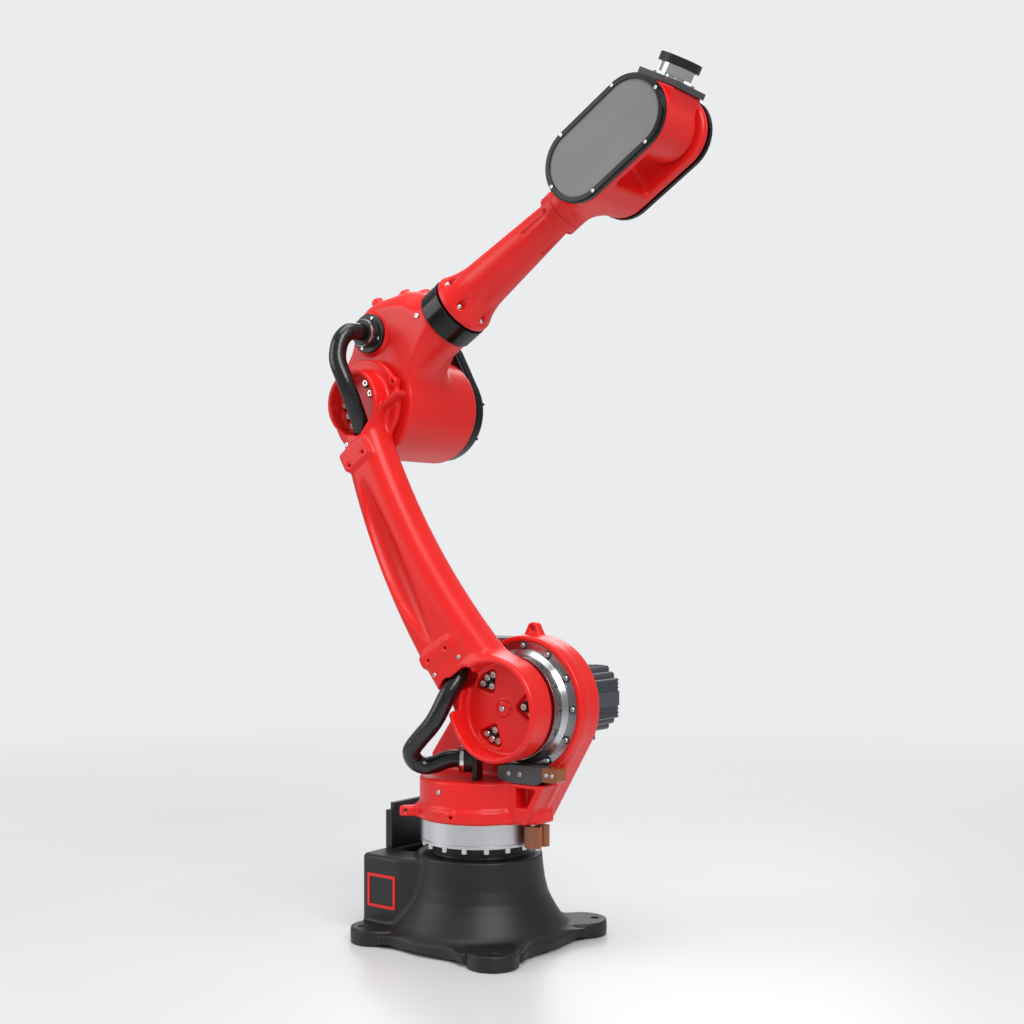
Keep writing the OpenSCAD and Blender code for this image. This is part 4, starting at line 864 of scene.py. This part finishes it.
class ARM_OT_screws(Operator):
    """Sets the socket-head screws of every joint and cover"""

    bl_idname = "arm.screws"
    bl_label = "Screws"

    def execute(self, context):
        zinc, dark, black = zinc_screw(), dark_steel(), black_moulding()
        around = [heading(22.5 * k) for k in range(16)]
        ring = [((99 * c, 99 * s, 179), DOWN, 5.2, 9.5) for c, s in around]
        dress(screws("slewing_ring_screws", ring, BASE), zinc, "turret", ["slewing_bolts"])
        flange = [(np.array(SHOULDER) + round_way(106.5, k * 30, -13), NEAR, 4.4, 5) for k in range(12)]
        dress(screws("reducer_screws", flange, BASE), zinc, "turret", ["shoulder_reducer_bolts"])
        stops = [((x, -40, 311.4), NEAR, 4.5, 5.6) for x in (100, 124)]
        stops += [((128, y, TURRET_FOOT), DOWN, 4.5, 6) for y in (-12, 12)]
        dress(screws("stop_screws", stops, BASE), zinc, "turret", ["stop_bolts"])
        buffers = [((x, -46, 315), NEAR, 3.6, 3) for x in (182, 194)] + [((128, 0, 180), DOWN, 5, 8)]
        dress(screws("buffer_screws", buffers, BASE), zinc, "turret")
        spots = [(spot, NEAR, 7.4, 0.5) for spot, *_ in flange]
        dress(screws("reducer_spot_faces", spots, BASE), dark, "turret")
        out = np.array([*heading(-93), 0])
        dress(screws("drum_screws", [(108.6 * out + (0, 0, 276), out, 4.2, 3)], BASE), zinc, "turret")
        pockets = []
        for turn in POCKET_TURNS:
            for u, v in ((44, 0), (59, -14), (62, 0), (59, 14)):
                spot = round_way(math.hypot(u, v), turn + math.degrees(math.atan2(v, u)), -57)
                pockets.append((np.array(spot) + (POCKET_MID[0], 0, POCKET_MID[1]), NEAR, 6.2, 6))
        dress(screws("shoulder_arm_screws", pockets, ARM), zinc, "upper_arm", ["shoulder_arm_bolts"])
        # dark discs of painted shade on the pocket floors, round each screw; those of neighbours overlap, so each
        # lies a little higher than the last
        painted_shade_discs = [(spot, NEAR, 10.6, 0.4 + 0.1 * (k % 4)) for k, (spot, *_) in enumerate(pockets)]
        dress(screws("pocket_floors_painted_shade", painted_shade_discs, ARM), black, "upper_arm")
        window = [(-36, 20), (-38, -2), (-38, -24), (30, 26), (30, 3), (30, -20)]
        window = [((x, RECESS_FLOOR, ARM_LEN + z), NEAR, 6.2, 6) for x, z in window]
        dress(screws("elbow_arm_screws", window, ARM), zinc, "upper_arm", ["elbow_arm_bolts"])
        # dark discs of painted shade on the window's floor, round each screw, each a little higher than its neighbour
        window_shade_discs = [(spot, NEAR, 9.4, 0.4 + 0.1 * (k % 3)) for k, (spot, *_) in enumerate(window)]
        dress(screws("window_painted_shade_strips", window_shade_discs, ARM), black, "upper_arm")
        face = [((-40, -110.5, 574), NEAR, 4, 3), ((0, -74, 0), NEAR, 5, 3)]
        face += [((-11, -110.5, 111), NEAR, 4, 3), ((-75, -110.5, 110), NEAR, 4, 3)]
        dress(screws("arm_face_screws", face, ARM), zinc, "upper_arm")
        turns = np.arange(4) * np.pi / 2
        gland = [
            ((ELBOW_GLAND[0] + 30 * math.cos(a), -60, ELBOW_GLAND[1] + 30 * math.sin(a)), NEAR, 3, 2)
            for a in turns + 0.6
        ]
        gland.append(((187, -56.2, 65), NEAR, 4.4, 3))
        dress(screws("elbow_screws", gland, ELBOW), zinc, "elbow")
        turned_by = np.arange(8) * np.pi / 4 + 0.4
        ways = [(90 * math.sin(a), 77.8 * (math.cos(a) > 0) + 90 * math.cos(a)) for a in turned_by]
        lids = [((x + 5.4 * (z > 40), 182, z), FAR, 3.4, 2.5) for x, z in ways]
        dress(screws("drive_cover_screws", lids, ELBOW), zinc, "elbow")
        sixths = np.arange(6) * np.pi / 3
        bell = [((266, 50.5 * math.sin(a), 50.5 * math.cos(a)), AHEAD, 4.5, 6) for a in sixths]
        dress(screws("bell_screws", bell, FORE), zinc, "forearm", ["forearm_bolts"])
        spots = ((60.5, 0), (0, -60.5), (-119, -60.5), (-179.5, 0), (0, 60.5), (-119, 60.5))
        covers = [((x, side[1] * 80, z), side, 3, 2) for side in (NEAR, FAR) for x, z in spots]
        dress(screws("cover_rim_screws", covers, WRIST), zinc, "forearm", ["cover_screws"])
        rim = [((76, 37 * math.sin(a), 33 * math.cos(a)), AHEAD, 3.4, 4) for a in turns + np.pi / 4]
        dress(screws("tool_plate_screws", rim, TOOL), zinc, "wrist")
        return {"FINISHED"}


class ARM_OT_glands(Operator):
    """Turns the hose glands and their bright clamps"""

    bl_idname = "arm.glands"
    bl_label = "Glands"

    def execute(self, context):
        nut = [(37, 0), (37, 6.4), (35.4, 8), (27, 8), (26, 9), (26, 13)]
        nut += [(24, 14), (24, 25), (23, 26), (17, 26)]
        seat = (ELBOW_GLAND[0], -52, ELBOW_GLAND[1])
        obj = turning("elbow_gland_turned", nut, ELBOW, seat, NEAR)
        dress(obj, black_moulding(), "elbow", ["elbow_gland"])
        clamp = [(24.2, 15), (25.6, 15.6), (25.6, 22.4), (24.2, 23)]
        obj = turning("elbow_clamp", clamp, ELBOW, seat, NEAR, closed=True)
        dress(obj, stainless(), "elbow")
        obj = turning("turret_clamp", clamp, BASE, TURRET_GLAND, GLAND_WAY, closed=True)
        dress(obj, stainless(), "turret")
        return {"FINISHED"}


def smooth_line(points, steps):
    """Points along a smooth curve through a route."""
    p = np.array(points, float)
    chord = np.diff(p, axis=0)
    size = np.linalg.norm(chord, axis=1)[:, None]
    pull = chord / size
    middle = (pull[:-1] * size[1:] + pull[1:] * size[:-1]) / (size[:-1] + size[1:])
    way = np.concatenate([pull[:1], middle, pull[-1:]])
    line = []
    for i, length in enumerate(size):
        for t in np.arange(steps) / steps:
            line.append(
                (1 - 3 * t**2 + 2 * t**3) * p[i]
                + (3 * t**2 - 2 * t**3) * p[i + 1]
                + length * ((t - 2 * t**2 + t**3) * way[i] + (t**3 - t**2) * way[i + 1])
            )
    return np.array(line + [p[-1]])


def sleeve(name, points, radius, sides):
    """Tube along a line in metres, closed at its ends, with a map of its yarns."""
    way = np.gradient(points, axis=0)
    way /= np.linalg.norm(way, axis=1)[:, None]
    side = np.cross(way[0], (0.3, 0.2, 0.9))
    rings = []
    for spot, direction in zip(points, way):
        side = side - direction * (side @ direction)
        side /= np.linalg.norm(side)
        up = np.cross(direction, side)
        turn = np.arange(sides) * 2 * np.pi / sides
        rings.append(spot + radius * (np.cos(turn)[:, None] * side + np.sin(turn)[:, None] * up))
    obj = piece(name, *stacked(rings))
    length = np.concatenate([[0], np.cumsum(np.linalg.norm(np.diff(points, axis=0), axis=1))])
    yarns = obj.data.uv_layers.new(name="sleeve")
    # the weave has 12 waves round the sleeve, and 12 in each 120 mm of its length
    for poly in obj.data.polygons:
        for corner, vertex in zip(poly.loop_indices, poly.vertices):
            j = vertex % sides
            if poly.index % sides == sides - 1 and j == 0 and len(poly.vertices) == 4:
                j = sides
            yarns.data[corner].uv = (12 * np.pi * j / sides, 12 * np.pi * length[vertex // sides] / 0.12)
    return obj


class ARM_OT_hoses(Operator):
    """Lays the two braided hoses from their glands into the arm's cable channel"""

    bl_idname = "arm.hoses"
    bl_label = "Hoses"

    def execute(self, context):
        lower = [TURRET_GLAND + d * GLAND_WAY for d in (26.3, 36.3)]
        lower += [(-16, -71, 328.5), (-41.5, -81.5, 318), (-51.5, -87.5, 316), (-60, -95, 318.5)]
        lower += [(-65.5, -103, 324.5), (-66.5, -110, 333.5), (-64, -115, 344), (-57, -116.5, 353.5)]
        lower += [(-46.5, -116.5, 364.5)]
        lower = [*placed(lower, BASE), *placed(LOWER_INLET + [(-40, -81, 120), (-38, -81, 140)], ARM)]
        upper = [(74, -78.3, 110), (74, -84.3, 110), (69, -106, 110), (61, -118, 103), (40, -130.6, 72.5)]
        upper = [*placed(upper, ELBOW), *placed(UPPER_INLET + [(-19, -81, 540), UPPER_END], ARM)]
        pairs = (("lower_hose", lower, "turret", "upper_arm"), ("upper_hose", upper, "elbow", "upper_arm"))
        for name, route, start_body, end_body in pairs:
            line = smooth_line(route, 12)
            obj = sleeve(f"{name}_braided", line, sizes().hose / 2, sizes().hose_sides)
            dress(obj, braid(), None, [name])
            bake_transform(obj)
        return {"FINISHED"}


class ARM_OT_stage(Operator):
    """Sets the pale floor, the soft lamps and the camera"""

    bl_idname = "arm.stage"
    bl_label = "Stage"

    def execute(self, context):
        scene = context.scene
        floor = piece("floor", [(-9, -9, 0), (9, -9, 0), (9, 9, 0), (-9, 9, 0)], [(0, 1, 2, 3)], smooth=False)
        floor.data.materials.append(pale_floor())
        lamps = (
            ("key", (3.6, -2.0, 3.8), 2.8, 160.0),
            ("fill", (-3.8, -3.6, 2.6), 3.4, 85.0),
            ("rim", (-2.2, 3.8, 3.4), 3.0, 90.0),
            ("top", (0.0, -0.4, 4.8), 3.0, 85.0),
        )
        for name, spot, size, power in lamps:
            light = bpy.data.lights.new(name, "AREA")
            light.size, light.energy = size, power
            lamp = bpy.data.objects.new(name, light)
            lamp.location = spot
            lamp.rotation_euler = (Vector((0.0, 0.0, 0.75)) - Vector(spot)).to_track_quat("-Z", "Y").to_euler()
            scene.collection.objects.link(lamp)
        world = bpy.data.worlds.new("pale_room")
        world.use_nodes = True
        tree = world.node_tree
        tree.nodes.clear()
        seen = add(tree, "ShaderNodeLightPath")
        strength = add(
            tree, "ShaderNodeMapRange", {"Value": seen.outputs["Is Camera Ray"], "To Min": 0.42, "To Max": 0.92}
        )
        pale = {"Color": tint(linear("#F4F5F7"), 1), "Strength": strength.outputs["Result"]}
        glow = add(tree, "ShaderNodeBackground", pale)
        add(tree, "ShaderNodeOutputWorld", {"Surface": glow.outputs["Background"]})
        scene.world = world
        scene.view_settings.view_transform = "Standard"
        camera = bpy.data.cameras.new("camera")
        camera.sensor_width, camera.lens, camera.shift_y = 36.0, 50.4, 0.0396
        camera.clip_end = 60.0
        view = bpy.data.objects.new("camera", camera)
        view.location = (1.6149, -2.0395, 0.6969)
        view.rotation_mode = "QUATERNION"
        view.rotation_quaternion = Vector((-0.6031, 0.7977, 0.0)).to_track_quat("-Z", "Y")
        scene.collection.objects.link(view)
        scene.camera = view
        return {"FINISHED"}


STEPS = (
    ARM_OT_stage,
    ARM_OT_hoses,
    ARM_OT_fittings,
    ARM_OT_pedestal,
    ARM_OT_turret,
    ARM_OT_upper_arm,
    ARM_OT_elbow,
    ARM_OT_forearm,
    ARM_OT_wrist,
    ARM_OT_screws,
    ARM_OT_glands,
)


class ARM_PT_panel(Panel):
    """Lists the steps of the finish"""

    bl_idname = "ARM_PT_panel"
    bl_label = "Robot Arm"
    bl_space_type = "VIEW_3D"
    bl_region_type = "UI"
    bl_category = "Robot Arm"

    def draw(self, context):
        for group in (context.scene.arm_colours, context.scene.arm_sizes):
            for key in group.__annotations__:
                self.layout.prop(group, key)
        for step in STEPS:
            self.layout.operator(step.bl_idname)


CLASSES = (ArmColours, ArmSizes, *STEPS, ARM_PT_panel)


def register():
    for cls in CLASSES:
        bpy.utils.register_class(cls)
    bpy.types.Scene.arm_colours = PointerProperty(type=ArmColours)
    bpy.types.Scene.arm_sizes = PointerProperty(type=ArmSizes)


def unregister():
    del bpy.types.Scene.arm_sizes
    del bpy.types.Scene.arm_colours
    for cls in reversed(CLASSES):
        bpy.utils.unregister_class(cls)


def main():
    register()
    for step in STEPS:
        group, name = step.bl_idname.split(".")
        getattr(getattr(bpy.ops, group), name)()


if __name__ == "__main__":
    main()
